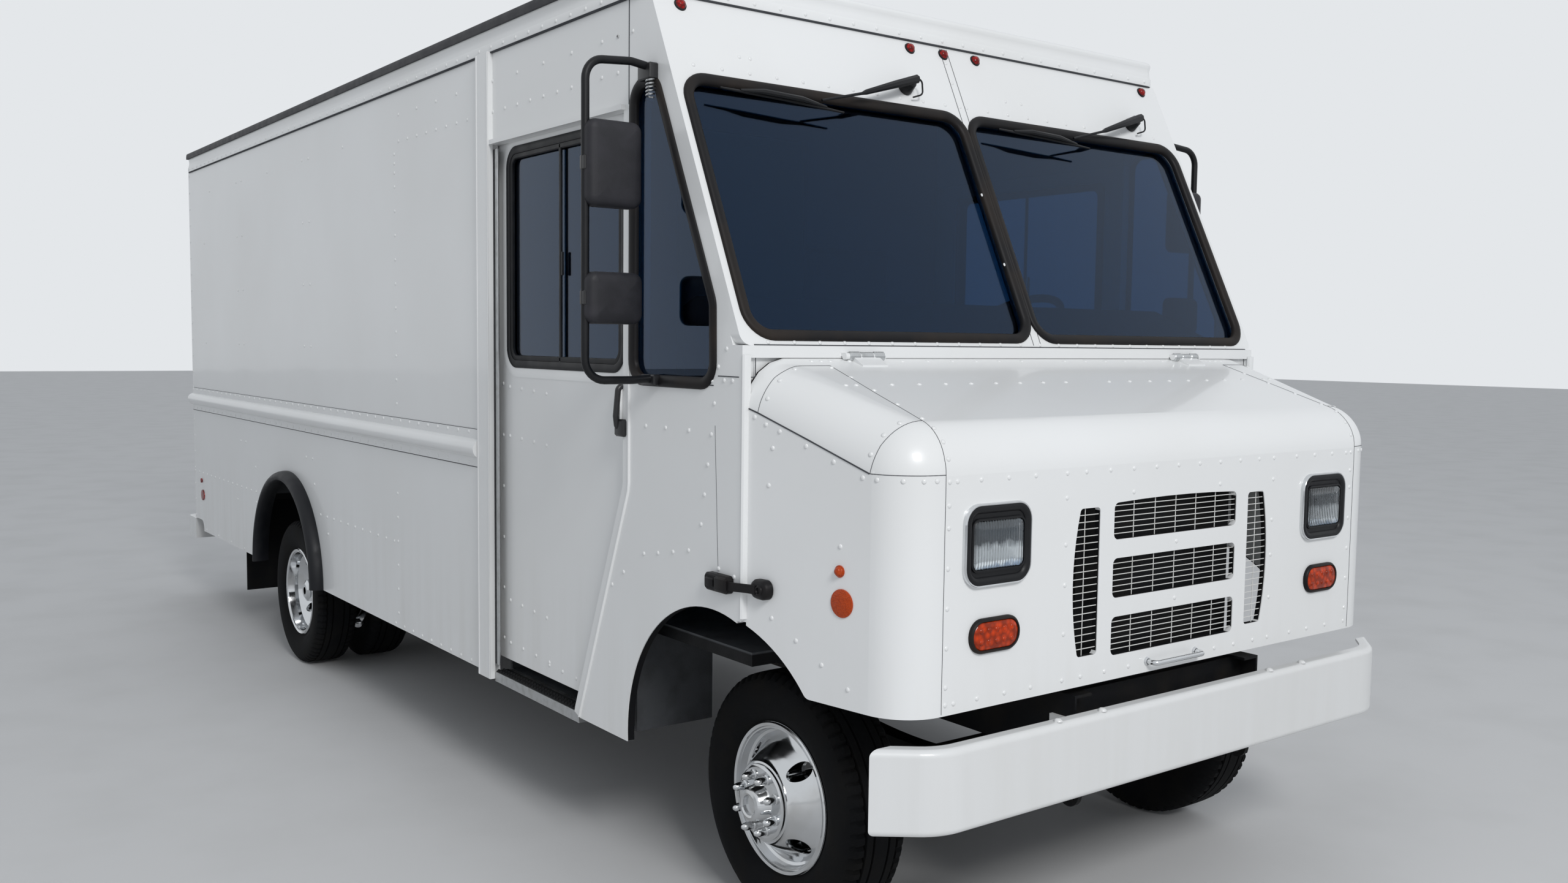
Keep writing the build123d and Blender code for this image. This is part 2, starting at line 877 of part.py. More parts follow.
def grille_outline(x0, x1, z0, z1, head_bow, side_bow, corner):
    """A grille opening's outline: a rectangle whose head or outer side may bow outwards."""
    feet = [(x0, z0), (x1, z0)]
    heads = [(x0, z1), (x1, z1)]
    middle_x = (x0 + x1) / 2
    middle_z = (z0 + z1) / 2
    head = Line(heads[1], heads[0])
    if head_bow:
        head = ThreePointArc(heads[1], (middle_x, z1 + head_bow), heads[0])
    left = Line(heads[0], feet[0])
    right = Line(feet[1], heads[1])
    if side_bow and middle_x < 0:
        left = ThreePointArc(heads[0], (x0 - side_bow, middle_z), feet[0])
    if side_bow and middle_x > 0:
        right = ThreePointArc(feet[1], (x1 + side_bow, middle_z), heads[1])
    face = make_face([Line(*feet), right, head, left])
    return fillet(face.vertices(), corner)


def grille_bars():
    """White wire grids behind the grille openings."""
    y0 = nose_y + hood_skin + seat_gap
    y1 = y0 + grille_depth
    half_wire = grille_wire / 2
    grids = []
    for x0, x1, z0, z1, head_bow, side_bow, corner, rows, columns in grille_slots:
        opening = grille_outline(x0, x1, z0, z1, head_bow, side_bow, corner)
        left = x0 - grille_border - (side_bow if x0 < -x1 else 0)
        right = x1 + grille_border + (side_bow if x0 > -x1 else 0)
        grid = box_at(left, right, y0, y1, z0 - grille_border, z1 + head_bow + grille_border)
        grid -= extrude(Plane.XZ.offset(-y0 + cut_over) * opening, amount=-grille_depth - 2 * cut_over)
        for row in range(1, rows + 1):
            z = z0 + (z1 - z0) * row / (rows + 1)
            grid += box_at(left + 1, right - 1, y0, y1, z - half_wire, z + half_wire)
        for column in range(1, columns + 1):
            x = x0 + (x1 - x0) * column / (columns + 1)
            grid += box_at(x - half_wire, x + half_wire, y0, y1, z0 - 1, z1 + head_bow + 1)
        grids.append(grid)
    return grids


def headlamps():
    """Rectangular lamps on the nose: bezel with its lens recessed."""
    plane = Plane.XZ.offset(-nose_y)
    face = Pos(-headlamp_x, headlamp_z) * RectangleRounded(headlamp_width, headlamp_height, headlamp_corner)
    lamp = extrude(plane * face, amount=headlamp_depth)
    recess = Pos(-headlamp_x, headlamp_z) * RectangleRounded(
        headlamp_lens_width, headlamp_lens_height, headlamp_corner / 2
    )
    lamp -= extrude(plane.offset(headlamp_depth - headlamp_recess) * recess, amount=headlamp_recess * 2)
    return both_sides(lamp)


def indicator_lamps():
    """Oval amber lamps below the headlamps."""
    plane = Plane.XZ.offset(-nose_y)
    corner = indicator_height / 2 - 4
    face = Pos(-indicator_x, indicator_z) * RectangleRounded(indicator_width, indicator_height, corner)
    return both_sides(extrude(plane * face, amount=indicator_depth))


def hood_handle():
    """The grab handle at the foot of the nose."""
    stand = 38
    bar = cylinder_x(handle_x - handle_half, handle_x + handle_half, nose_y - stand, handle_z, 9)
    for side in (-1, 1):
        bar += cylinder_y(handle_x + side * (handle_half - 10), nose_y - stand, nose_y, handle_z, 8)
    return bar


def bumper_form(inset, rear, foot, head):
    """The front bumper's plan, smaller by inset, as a block from its face back to rear: its ends sweep back."""
    sweep = math.radians(bumper_sweep)
    front = front_y + inset
    bend_x = bumper_half_width - bumper_wrap / math.tan(sweep) - inset * math.tan(sweep / 2)
    end_x = bend_x + (rear - front) / math.tan(sweep)
    plan = Polygon((-bend_x, front), (bend_x, front), (end_x, rear), (-end_x, rear), align=None)
    bends = plan.vertices().sort_by(Axis.Y)[:2]
    return extrude(Plane.XY.offset(foot) * fillet(bends, bumper_bend - inset), amount=head - foot)


def front_bumper():
    """A deep channel with rounded edges, its ends swept back, on brackets from the frame's horns."""
    rear = front_y + bumper_wrap
    outer = bumper_form(0, rear, bumper_foot_z, bumper_head_z)
    edges = outer.faces().sort_by(Axis.Z)[0].edges() + outer.faces().sort_by(Axis.Z)[-1].edges()
    outer = fillet([edge for edge in edges if edge.center().Y < rear - 1], bumper_edge)
    inner = bumper_form(bumper_wall, rear + cut_over, bumper_foot_z + bumper_wall, bumper_head_z - bumper_wall)
    edges = inner.faces().sort_by(Axis.Z)[0].edges() + inner.faces().sort_by(Axis.Z)[-1].edges()
    inner = fillet([edge for edge in edges if edge.center().Y < rear - 1], bumper_edge - bumper_wall)
    channel = outer - inner
    channel -= bumper_form(bumper_flange, rear + cut_over, bumper_foot_z - cut_over, bumper_head_z + cut_over)
    for side in (-1, 1):
        channel += box_at(
            side * rail_outer_x,
            side * (rail_outer_x + bumper_bracket),
            front_y + bumper_wall / 2,
            nose_y + 80,
            rail_foot_z + 20,
            bumper_head_z - bumper_wall - 20,
        )
    return channel


def rear_bumper():
    """A white step bumper as wide as the body, hollow below, on two brackets from the frame rails."""
    outer = box_at(
        -body_half_width,
        body_half_width,
        body_rear_y,
        rear_y,
        rear_bumper_foot_z,
        rear_bumper_head_z,
    )
    outer = fillet(outer.edges().filter_by(Axis.Z).sort_by(Axis.Y)[-2:], rear_bumper_corner)
    inner = box_at(
        -body_half_width + rear_bumper_wall,
        body_half_width - rear_bumper_wall,
        body_rear_y + rear_bumper_wall,
        rear_y - rear_bumper_wall,
        rear_bumper_foot_z - cut_over,
        rear_bumper_head_z - rear_bumper_wall,
    )
    inner = fillet(inner.edges().filter_by(Axis.Z).sort_by(Axis.Y)[-2:], rear_bumper_corner - rear_bumper_wall)
    bumper = outer - inner
    bracket = [
        (rail_end_y - 160, rail_top_z - 60),
        (rail_end_y, rail_top_z - 60),
        (rail_end_y, rear_bumper_head_z),
        (body_rear_y + rear_bumper_wall, rear_bumper_head_z),
        (body_rear_y + rear_bumper_wall, rear_bumper_foot_z + 10),
        (rail_end_y - 40, rear_bumper_foot_z + 10),
        (rail_end_y - 160, rail_foot_z - 20),
    ]
    for side in (-1, 1):
        x0 = rail_outer_x if side > 0 else -rail_outer_x - 12
        bumper += side_plate(bracket, x0, x0 + 12)
    return bumper


def frame_rails():
    """Two channel rails, open inwards, with horns to the front bumper."""
    y0 = nose_y
    rails = []
    for side in (-1, 1):
        rail = box_at(
            side * (rail_outer_x - rail_flange),
            side * rail_outer_x,
            y0,
            rail_end_y,
            rail_foot_z,
            rail_top_z,
        )
        rail -= box_at(
            side * (rail_outer_x - rail_flange - cut_over),
            side * (rail_outer_x - rail_wall),
            y0 - cut_over,
            rail_end_y + cut_over,
            rail_foot_z + rail_wall,
            rail_top_z - rail_wall,
        )
        rails.append(rail)
    return rails


def crossmembers():
    """Bars between the rails, and the two stubs that carry the engine."""
    web_x = rail_outer_x - rail_wall
    bars = [
        box_at(-web_x, web_x, y, y + crossmember_size, crossmember_foot_z, crossmember_top_z)
        for y in crossmember_ys
    ]
    for side in (-1, 1):
        bars.append(
            box_at(
                side * engine_half_width,
                side * web_x,
                engine_mount_y,
                engine_mount_y + 80,
                crossmember_top_z - 62,
                crossmember_top_z,
            )
        )
    return bars


def outrigger_bars():
    """Bars across the rails that carry the floor out to the steps and the side walls."""
    return [
        box_at(-reach, reach, y, y + outrigger_depth, rail_top_z, floor_foot_z) for y, reach in outriggers
    ]


def tow_eyes():
    """A plate with a pin hole under each horn of the frame."""
    plates = []
    for side in (-1, 1):
        x0 = side * (rail_outer_x - rail_flange / 2 - tow_plate / 2)
        x1 = side * (rail_outer_x - rail_flange / 2 + tow_plate / 2)
        plate = box_at(x0, x1, tow_eye_y - tow_eye_radius, tow_eye_y + tow_eye_radius, tow_eye_z, rail_foot_z)
        plate += cylinder_x(x0, x1, tow_eye_y, tow_eye_z, tow_eye_radius)
        plate -= cylinder_x(x0 - side, x1 + side, tow_eye_y, tow_eye_z, tow_pin_radius)
        plates.append(plate)
    return plates


def leaf_springs():
    """Four bowed leaf packs, each eye hung from the rail."""
    packs = []
    front_x = rail_outer_x - 35
    rear_x = (rail_outer_x + wheel_box_inner_x) / 2 - 20
    for axle_y, x, half, seat_z in (
        (front_axle_y, front_x, 600, tyre_radius + axle_beam_height / 2),
        (rear_axle_y, rear_x, 640, tyre_radius + axle_tube_radius),
    ):
        eye_z = seat_z + spring_rise
        top_z = eye_z + spring_thickness
        low = ThreePointArc((axle_y - half, eye_z), (axle_y, seat_z), (axle_y + half, eye_z))
        high = ThreePointArc(
            (axle_y + half, top_z), (axle_y, seat_z + spring_thickness), (axle_y - half, top_z)
        )
        end = Line((axle_y + half, eye_z), (axle_y + half, top_z))
        start = Line((axle_y - half, top_z), (axle_y - half, eye_z))
        face = make_face([low, end, high, start])
        pack = extrude(Plane.YZ.offset(-x - spring_width / 2) * face, amount=spring_width)
        for way in (-1, 1):
            pack += box_at(
                -x - spring_width / 2,
                -min(x - spring_width / 2, rail_outer_x - 20),
                axle_y + way * half - 25,
                axle_y + way * half + 25,
                eye_z,
                rail_foot_z,
            )
        packs.append(both_sides(pack))
    return packs


def front_axle():
    """A forged beam between the kingpin bosses."""
    z = tyre_radius
    beam = box_at(
        -kingpin_x,
        kingpin_x,
        front_axle_y - axle_beam_width / 2,
        front_axle_y + axle_beam_width / 2,
        z - axle_beam_height / 2,
        z + axle_beam_height / 2,
    )
    for way in (-1, 1):
        beam -= box_at(
            -front_arch_inner_x,
            front_arch_inner_x,
            front_axle_y + way * 12,
            front_axle_y + way * axle_beam_width,
            z - 24,
            z + 24,
        )
    for side in (-1, 1):
        beam += Pos(side * kingpin_x, front_axle_y, z) * Cylinder(axle_boss_radius, 110)
    for side in (-1, 1):
        beam -= Pos(side * kingpin_x, front_axle_y, z) * Cylinder(kingpin_radius + spindle_gap, 200)
    return beam


def knuckle(side):
    """A steering knuckle: a yoke round the beam's boss, its kingpin and the wheel spindle."""
    z = tyre_radius
    ear = 30
    ear_gap = 55 + seat_gap
    body = None
    for end in (-1, 1):
        lug = Pos(side * kingpin_x, front_axle_y, z + end * (ear_gap + ear / 2)) * Cylinder(axle_boss_radius, ear)
        lug += box_at(
            side * kingpin_x,
            side * (kingpin_x + yoke_reach),
            front_axle_y - yoke_half_width,
            front_axle_y + yoke_half_width,
            z + end * ear_gap,
            z + end * (ear_gap + ear),
        )
        body = lug if body is None else body + lug
    body += box_at(
        side * (kingpin_x + 44),
        side * (kingpin_x + yoke_reach),
        front_axle_y - yoke_half_width,
        front_axle_y + yoke_half_width,
        z - ear_gap - ear,
        z + ear_gap + ear,
    )
    body += Pos(side * kingpin_x, front_axle_y, z) * Cylinder(kingpin_radius, 2 * (ear_gap + ear))
    end_x = front_track_half + rim_width / 2 + 20
    body += cylinder_x(side * (kingpin_x + 50), side * end_x, front_axle_y, z, spindle_radius)
    return body


def rear_axle():
    """Axle tube with the differential in its middle and the drive shaft ahead of it."""
    z = tyre_radius
    tube_half = wheel_box_inner_x - 10
    tube = cylinder_x(-rear_outer_x, rear_outer_x, rear_axle_y, z, spindle_radius)
    tube += cylinder_x(-tube_half, tube_half, rear_axle_y, z, axle_tube_radius)
    tube += Pos(0, rear_axle_y, z) * Sphere(diff_radius)
    tube += cylinder_y(0, bay_members[0], rear_axle_y, z + 60, shaft_radius)
    return tube


def tyre(x_centre, y):
    """A tyre: tread, round shoulders and sidewalls down to the beads."""
    half = tyre_width / 2
    bead = rim_width / 2 - rim_flange - seat_gap
    outline = [
        (half - 26, tyre_radius),
        (half - 4, tyre_radius - 22),
        (half, tyre_radius - 75),
        (half - 6, rim_radius + 44),
        (bead, rim_radius + 20),
        (bead, rim_radius + seat_gap),
    ]
    inner = [
        (bead - tyre_wall, rim_radius + seat_gap),
        (bead - tyre_wall, rim_radius + 24),
        (half - tyre_wall - 4, tyre_radius - 90),
        (half - 30, tyre_radius - tyre_wall - 12),
    ]
    points = outline + inner
    points += [(-x, r) for x, r in reversed(inner)]
    points += [(-x, r) for x, r in reversed(outline)]
    face = Polygon(*points, align=None)
    ring = revolve(Plane.XY * face, Axis.X)
    return Pos(x_centre, y, tyre_radius) * ring


def wheel_rim(x_centre, y, side, dish, hub_end, bore_end):
    """A steel rim with its dished cover, hub, lug covers and hand holes; the dish is set out from the middle."""
    half = rim_width / 2
    outer = rim_radius
    well = outer - rim_thickness
    points = [
        (-half, outer + rim_lip),
        (-half, well),
        (-half + 30, well - 6),
        (half - 30, well - 6),
        (half, well),
        (half, outer + rim_lip),
        (half - rim_flange, outer + rim_lip),
        (half - rim_flange, outer),
        (-half + rim_flange, outer),
        (-half + rim_flange, outer + rim_lip),
    ]
    ring = revolve(Plane.XY * Polygon(*points, align=None), Axis.X)
    bore = spindle_radius + spindle_gap
    disc_points = [
        (dish - 10, bore),
        (dish - 10, disc_radius),
        (half - 60, well - 3),
        (half - 45, well - 3),
        (dish + 2, disc_radius),
        (dish + 2, bore),
    ]
    disc = revolve(Plane.XY * Polygon(*disc_points, align=None), Axis.X)
    hub_points = [
        (bore_end, bore),
        (bore_end, hub_radius),
        (dish + 8, hub_radius + 6),
        (hub_end - 12, hub_radius - 6),
        (hub_end, hub_radius - 26),
        (hub_end, bore),
    ]
    hub = revolve(Plane.XY * Polygon(*hub_points, align=None), Axis.X)
    rim = ring + disc + hub
    rim += Pos(hub_end - 4, 0, 0) * Rot(0, 90, 0) * Cylinder(hub_radius - 26, 8)
    for i in range(stud_count):
        angle = math.radians(360 * (i + 0.5) / stud_count)
        lug_y = stud_circle_radius * math.cos(angle)
        lug_z = stud_circle_radius * math.sin(angle)
        rim += cylinder_x(dish, dish + 46, lug_y, lug_z, stud_radius)
    for i in range(hand_hole_count):
        angle = math.radians(360 * (i + 0.5) / hand_hole_count)
        hole_y = hand_hole_circle_radius * math.cos(angle)
        hole_z = hand_hole_circle_radius * math.sin(angle)
        rim -= cylinder_x(-half - cut_over, half + 60, hole_y, hole_z, hand_hole_radius)
    if side < 0:
        rim = mirror(rim, Plane.YZ)
    return Pos(x_centre, y, tyre_radius) * rim


def inner_rim(x_centre, y):
    """The plain inner wheel of a rear pair."""
    half = rim_width / 2
    outer = rim_radius
    points = [
        (-half, outer + rim_lip),
        (-half, outer - rim_thickness),
        (half, outer - rim_thickness),
        (half, outer + rim_lip),
        (half - rim_flange, outer + rim_lip),
        (half - rim_flange, outer),
        (-half + rim_flange, outer),
        (-half + rim_flange, outer + rim_lip),
    ]
    ring = revolve(Plane.XY * Polygon(*points, align=None), Axis.X)
    return Pos(x_centre, y, tyre_radius) * ring


def front_wheel(side):
    """A front wheel: the dish bulges outwards and carries the lug covers."""
    return wheel_rim(side * front_track_half, front_axle_y, side, 62, 150, -70)


def rear_wheels(side):
    """A rear pair: deep-dished outer wheel, plain inner wheel and the drum that joins them."""
    outer = wheel_rim(side * rear_outer_x, rear_axle_y, side, -40, 60, -120)
    inner_x = rear_outer_x - twin_spacing
    inner = inner_rim(side * inner_x, rear_axle_y)
    z = tyre_radius
    bore = spindle_radius + spindle_gap
    drum = cylinder_x(side * (inner_x - 60), side * (rear_outer_x - 50), rear_axle_y, z, drum_radius)
    drum -= cylinder_x(side * (inner_x - 65), side * (inner_x + 90), rear_axle_y, z, drum_radius - 15)
    drum -= cylinder_x(side * (inner_x - 70), side * rear_outer_x, rear_axle_y, z, bore)
    web = cylinder_x(side * (inner_x + 40), side * (inner_x + 60), rear_axle_y, z, rim_radius - 2)
    web -= cylinder_x(side * (inner_x + 30), side * (inner_x + 70), rear_axle_y, z, drum_radius - 2)
    return outer + drum + web + inner


def engine_block():
    """The engine as one plain block, ahead of the firewall."""
    return box_at(
        -engine_half_width,
        engine_half_width,
        cab_front_y - 330,
        cab_front_y - 20,
        rail_top_z - 230,
        radiator_top_z,
    )


def radiator():
    """The radiator between the rails behind the grille."""
    half = rail_outer_x - rail_flange - running_gap
    return box_at(-half, half, radiator_y, radiator_y + 60, crossmember_top_z, radiator_top_z)


def exhaust_pipe():
    """The pipe runs back over the rear axle, dips and turns out to an open end behind the right rear wheel."""
    radius = 39
    bend = 150
    x = -(rail_outer_x - 130)
    run_z = 520
    tail_z = 310
    tail_y = rear_axle_y + 1142
    points = [
        Vector(x, front_axle_y + 1225, run_z),
        Vector(x, rear_axle_y + 450, run_z),
        Vector(x, rear_axle_y + 800, tail_z),
        Vector(x, tail_y, tail_z),
        Vector(-(body_half_width - 90), tail_y, tail_z),
    ]
    pieces = []
    start = points[0]
    for before, corner, after in zip(points, points[1:], points[2:]):
        way_in = (corner - before).normalized()
        way_out = (after - corner).normalized()
        turn = math.radians(way_in.get_angle(way_out))
        setback = bend * math.tan(turn / 2)
        arc_start = corner - way_in * setback
        arc_end = corner + way_out * setback
        pieces.append(Line(start, arc_start))
        pieces.append(TangentArc(arc_start, arc_end, tangent=way_in))
        start = arc_end
    pieces.append(Line(start, points[-1]))
    section = Plane(origin=points[0], z_dir=(0, 1, 0)) * Circle(radius)
    pipe = sweep(section, path=Wire(pieces))
    pipe -= cylinder_x(points[-1].X - 1, points[-1].X + 60, tail_y, tail_z, radius - 4)
    hanger_half = 6
    for y in bay_members[1:]:
        pipe += box_at(
            x - hanger_half, x + hanger_half, y + 40, y + 60, run_z + radius - 9, crossmember_foot_z
        )
    y = crossmember_ys[4] + 10
    pipe += box_at(x - hanger_half, x + hanger_half, y, y + 20, tail_z + radius - 9, crossmember_foot_z)
    return pipe


def fuel_tank():
    """A rounded steel tank hung outside the left rail."""
    tank = box_at(
        rail_outer_x,
        rail_outer_x + 330,
        bay_members[1],
        bay_members[2] - 150,
        skirt_z - 4,
        rail_top_z - 10,
    )
    return fillet(tank.edges().filter_by(Axis.Y), 45)


def mud_flaps():
    """Rubber flaps hung from the floor behind the rear wheels."""
    y = mud_flap_y
    return both_sides(
        box_at(-(body_half_width - 50), -(wheel_box_inner_x + 50), y, y + 8, 215, floor_foot_z)
    )


def rub_rails():
    """Half-round belt rails with flat flanges, along both cargo sides."""
    y0 = doorway_rear_y + post_width
    flange = box_at(
        -body_half_width - belt_flange, -body_half_width, y0, body_rear_y - 8, belt_foot_z, belt_head_z
    )
    bead = cylinder_y(-body_half_width - belt_flange / 2, y0 + 4, body_rear_y - 20, belt_bead_z, belt_bead_radius)
    bead = bead & box_at(
        -body_half_width - 2 * belt_bead_radius,
        -body_half_width,
        y0,
        body_rear_y,
        belt_foot_z,
        belt_head_z,
    )
    return both_sides(flange + bead)


def dashboard():
    """A dash across the cab, its top rising from the foot of the windscreens."""
    front = cab_front_y + firewall_depth
    outline = [(front + behind, z) for behind, z in dash_outline]
    return side_plate(outline, -floor_edge_x + dash_inset, floor_edge_x - dash_inset)


def steering_wheel():
    """Rim, spokes and the sloping column from the dash."""
    tilt = Plane(origin=(wheel_hub_x, wheel_hub_y, wheel_hub_z), x_dir=(1, 0, 0), z_dir=(0, 0.55, 0.835))
    rim = tilt * Torus(steering_radius, 16)
    spokes = tilt * Box(2 * steering_radius, 30, 12) + tilt * Cylinder(55, 40)
    column = tilt * (Pos(0, 0, -column_length / 2) * Cylinder(26, column_length))
    return rim + spokes + column - dashboard()


def seat_base():
    """The driver's seat pedestal."""
    half = seat_half_width - 90
    y0 = seat_y + 50
    return box_at(seat_x - half, seat_x + half, y0, y0 + seat_length - 100, floor_top_z, seat_base_top_z)


def seat_pads():
    """Cushion and high backrest of the driver's seat."""
    x0 = seat_x - seat_half_width
    x1 = seat_x + seat_half_width
    y1 = seat_y + seat_length
    cushion = box_at(
        x0, x1, seat_y, y1, seat_base_top_z + seat_gap, seat_base_top_z + seat_cushion
    )
    cushion = fillet(cushion.edges(), seat_corner)
    back = box_at(
        x0, x1, y1 + seat_gap, y1 + seat_back_depth, seat_base_top_z + 20, seat_back_top_z
    )
    back = fillet(back.edges(), seat_corner)
    return [cushion, back]


def mirrors():
    """Tube loops with two mirror heads a side."""
    x_tube = -mirror_tube_x
    top = mirror_top_z
    foot = mirror_foot_z
    loop = cylinder_x(x_tube, -body_half_width, mirror_y, top, mirror_tube_radius)
    loop += cylinder_x(x_tube, -body_half_width, mirror_y, foot, mirror_tube_radius)
    loop += Pos(x_tube, mirror_y, (top + foot) / 2) * Cylinder(
        mirror_tube_radius, top - foot + 2 * mirror_tube_radius
    )
    upper_z = top - 290
    lower_z = foot + 236
    for z, height in ((upper_z, mirror_upper_height), (lower_z, mirror_lower_height)):
        head = box_at(
            x_tube - 8,
            x_tube - 8 + mirror_head_width,
            mirror_y - mirror_head_depth + 10,
            mirror_y + 10,
            z - height / 2,
            z + height / 2,
        )
        loop += fillet(head.edges().filter_by(Axis.Y), 28)
    return both_sides(loop)


def wipers():
    """Wiper pivots, arms and blades above the panes."""
    plane = screen_plane()
    pane_top = pane_foot + pane_height
    pivot_s = pane_top + wiper_pivot_rise
    sets = []
    for x in wiper_pivot_xs:
        pivot = plane * (Pos(x, pivot_s, 20) * Cylinder(22, 40))
        arm = plane * (Pos(x - 240, pivot_s - 45, 42) * Rot(0, 0, 10) * Box(500, 16, 8))
        blade = plane * (Pos(x - 560, pane_top - 8, 36) * Rot(0, 0, -4) * Box(480, 14, 20))
        link = plane * (Pos(x - 470, pane_top - 3, 40) * Box(60, 14, 12))
        sets.append(pivot + arm + blade + link)
    return sets


def header_lamps():
    """Five amber clearance lamps on the header over the windscreens."""
    plane = screen_plane()
    corner_x = body_half_width - 95
    return [
        plane * (Pos(x, slope_length - 36, 5) * Cylinder(14, 10))
        for x in (-corner_x, -155, 0, 155, corner_x)
    ]


def tail_lamps():
    """Side markers and reflectors, round lamps on the rear sill and five lamps on the rear header."""
    lamps = []
    corner_x = body_half_width - 110
    for x in (-corner_x, -155, 0, 155, corner_x):
        lamps.append(cylinder_y(x, body_rear_y, body_rear_y + 10, roof_flange_z - 60, 14))
    for side in (-1, 1):
        wall_x = side * body_half_width
        lamps.append(cylinder_x(wall_x, wall_x + side * 8, body_rear_y - 190, 798, 14))
        lamps.append(cylinder_x(wall_x, wall_x + side * 6, body_rear_y - 215, 707, 34))
        for x in (body_half_width - 170, body_half_width - 300):
            lamps.append(cylinder_y(side * x, body_rear_y, body_rear_y + 12, 660, 50))
    return lamps


os.makedirs("parts", exist_ok=True)
write("cargo_sides", cargo_sides())
write("wheel_flares", wheel_flares())
write("roof", roof())
write("screen_frame", screen_frame())
write("cab_glass", *cab_glass())
write("cab_sides", cab_sides())
write("cab_front", cab_front())
write("door_surrounds", door_surrounds())
write("floor", floor())
write("step_nosings", step_nosings())
write("bulkhead", bulkhead())
write("rear_frame", rear_frame())
write("hood_shell", hood_shell())
write("grille_bars", *grille_bars())
write("headlamps", headlamps())
write("indicator_lamps", indicator_lamps())
write("hood_handle", hood_handle())
write("front_bumper", front_bumper())
write("rear_bumper", rear_bumper())
write("frame_rails", *frame_rails())
write("crossmembers", *crossmembers())
write("outriggers", *outrigger_bars())
write("tow_eyes", *tow_eyes())
write("leaf_springs", *leaf_springs())
write("front_axle", front_axle())
write("rear_axle", rear_axle())
write("engine_block", engine_block())
write("radiator", radiator())
write("exhaust_pipe", exhaust_pipe())
write("fuel_tank", fuel_tank())
write("mud_flaps", mud_flaps())
write("rub_rails", rub_rails())
write("dashboard", dashboard())
write("steering_wheel", steering_wheel())
write("seat_base", seat_base())
write("seat_pads", *seat_pads())
write("mirrors", mirrors())
write("wipers", *wipers())
write("header_lamps", *header_lamps())
write("tail_lamps", *tail_lamps())
door = cab_door()
pane = door_glass()
write("door_right", door)
write("door_right_glass", pane)
write("door_left", mirror(door, Plane.YZ))
write("door_left_glass", mirror(pane, Plane.YZ))
for name, side in (("right", -1), ("left", 1)):
    write(f"rear_door_{name}", rear_door(side))
    glass_y = body_rear_y - rear_door_thickness / 2
    write(f"rear_door_{name}_glass", rear_window(side, seat_gap, glass_y - 3, glass_y + 3))
    write(f"knuckle_{name}", knuckle(side))
    write(f"front_rim_{name}", front_wheel(side))
    write(f"front_tyre_{name}", tyre(side * front_track_half, front_axle_y))
    write(f"rear_rims_{name}", rear_wheels(side))
    outer_tyre = tyre(side * rear_outer_x, rear_axle_y)
    inner_tyre = tyre(side * (rear_outer_x - twin_spacing), rear_axle_y)
    write(f"rear_tyres_{name}", outer_tyre, inner_tyre)
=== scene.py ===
# %% [markdown]
# # A walk-in step van, dressed around its CAD frame
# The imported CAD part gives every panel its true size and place. This script adds what a photographer sees
# from a step away: rivets, rubber gaskets, seams, lamps, chrome wheels, tyres and the cab behind the glass.
# Each new piece is a surface worked out with numpy, in millimetres, and put into a mesh in metres.

import json
import math

import bmesh
import bpy
import numpy as np
from mathutils import Matrix, Vector


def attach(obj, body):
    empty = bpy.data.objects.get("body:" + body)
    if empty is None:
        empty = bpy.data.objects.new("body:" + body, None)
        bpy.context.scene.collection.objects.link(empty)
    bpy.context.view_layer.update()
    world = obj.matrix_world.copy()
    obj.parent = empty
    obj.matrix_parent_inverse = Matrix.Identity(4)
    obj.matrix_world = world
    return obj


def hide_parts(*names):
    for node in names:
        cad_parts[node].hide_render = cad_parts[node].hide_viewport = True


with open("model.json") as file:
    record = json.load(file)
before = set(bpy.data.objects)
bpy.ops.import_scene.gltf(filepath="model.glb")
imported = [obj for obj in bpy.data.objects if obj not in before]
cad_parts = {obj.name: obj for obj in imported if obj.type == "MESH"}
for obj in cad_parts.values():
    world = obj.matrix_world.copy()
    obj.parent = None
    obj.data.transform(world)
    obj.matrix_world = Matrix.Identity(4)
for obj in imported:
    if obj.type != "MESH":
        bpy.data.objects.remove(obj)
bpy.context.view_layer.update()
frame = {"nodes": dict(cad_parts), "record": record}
MM = 0.001

# %% [markdown]
# ## One helper that makes a mesh
# A grid of points is all that a smooth surface needs: neighbours in the grid become the corners of a face.
# A closed form, such as a tube or a ring, wraps one side of the grid round to the other. Keeping this in one
# function means that every later cell only has to say where the points are. One table tells which material
# slot of the CAD part each finish stands for; a piece looks its slot up there, but nothing uses it.


# %% Grids to meshes
def grid_faces(count_u, count_v, wrap_u, wrap_v):
    """Quads between the neighbours of a grid; a wrapped side joins its last row to its first."""
    index = np.arange(count_u * count_v).reshape(count_u, count_v)
    if wrap_u:
        index = np.vstack([index, index[:1]])
    if wrap_v:
        index = np.hstack([index, index[:, :1]])
    corners = [index[:-1, :-1], index[1:, :-1], index[1:, 1:], index[:-1, 1:]]
    return np.stack(corners, -1).reshape(-1, 4)


def mirrored(surfaces):
    """The same surfaces with their mirror images: x changes its sign and each face its direction."""
    flipped = []
    for surface in surfaces:
        if len(surface) == 3:
            grid, wrap_u, wrap_v = surface
            flipped.append((grid[:, ::-1] * [-1, 1, 1], wrap_u, wrap_v))
        else:
            points, quads = surface
            flipped.append((points * [-1, 1, 1], quads[:, ::-1]))
    return list(surfaces) + flipped


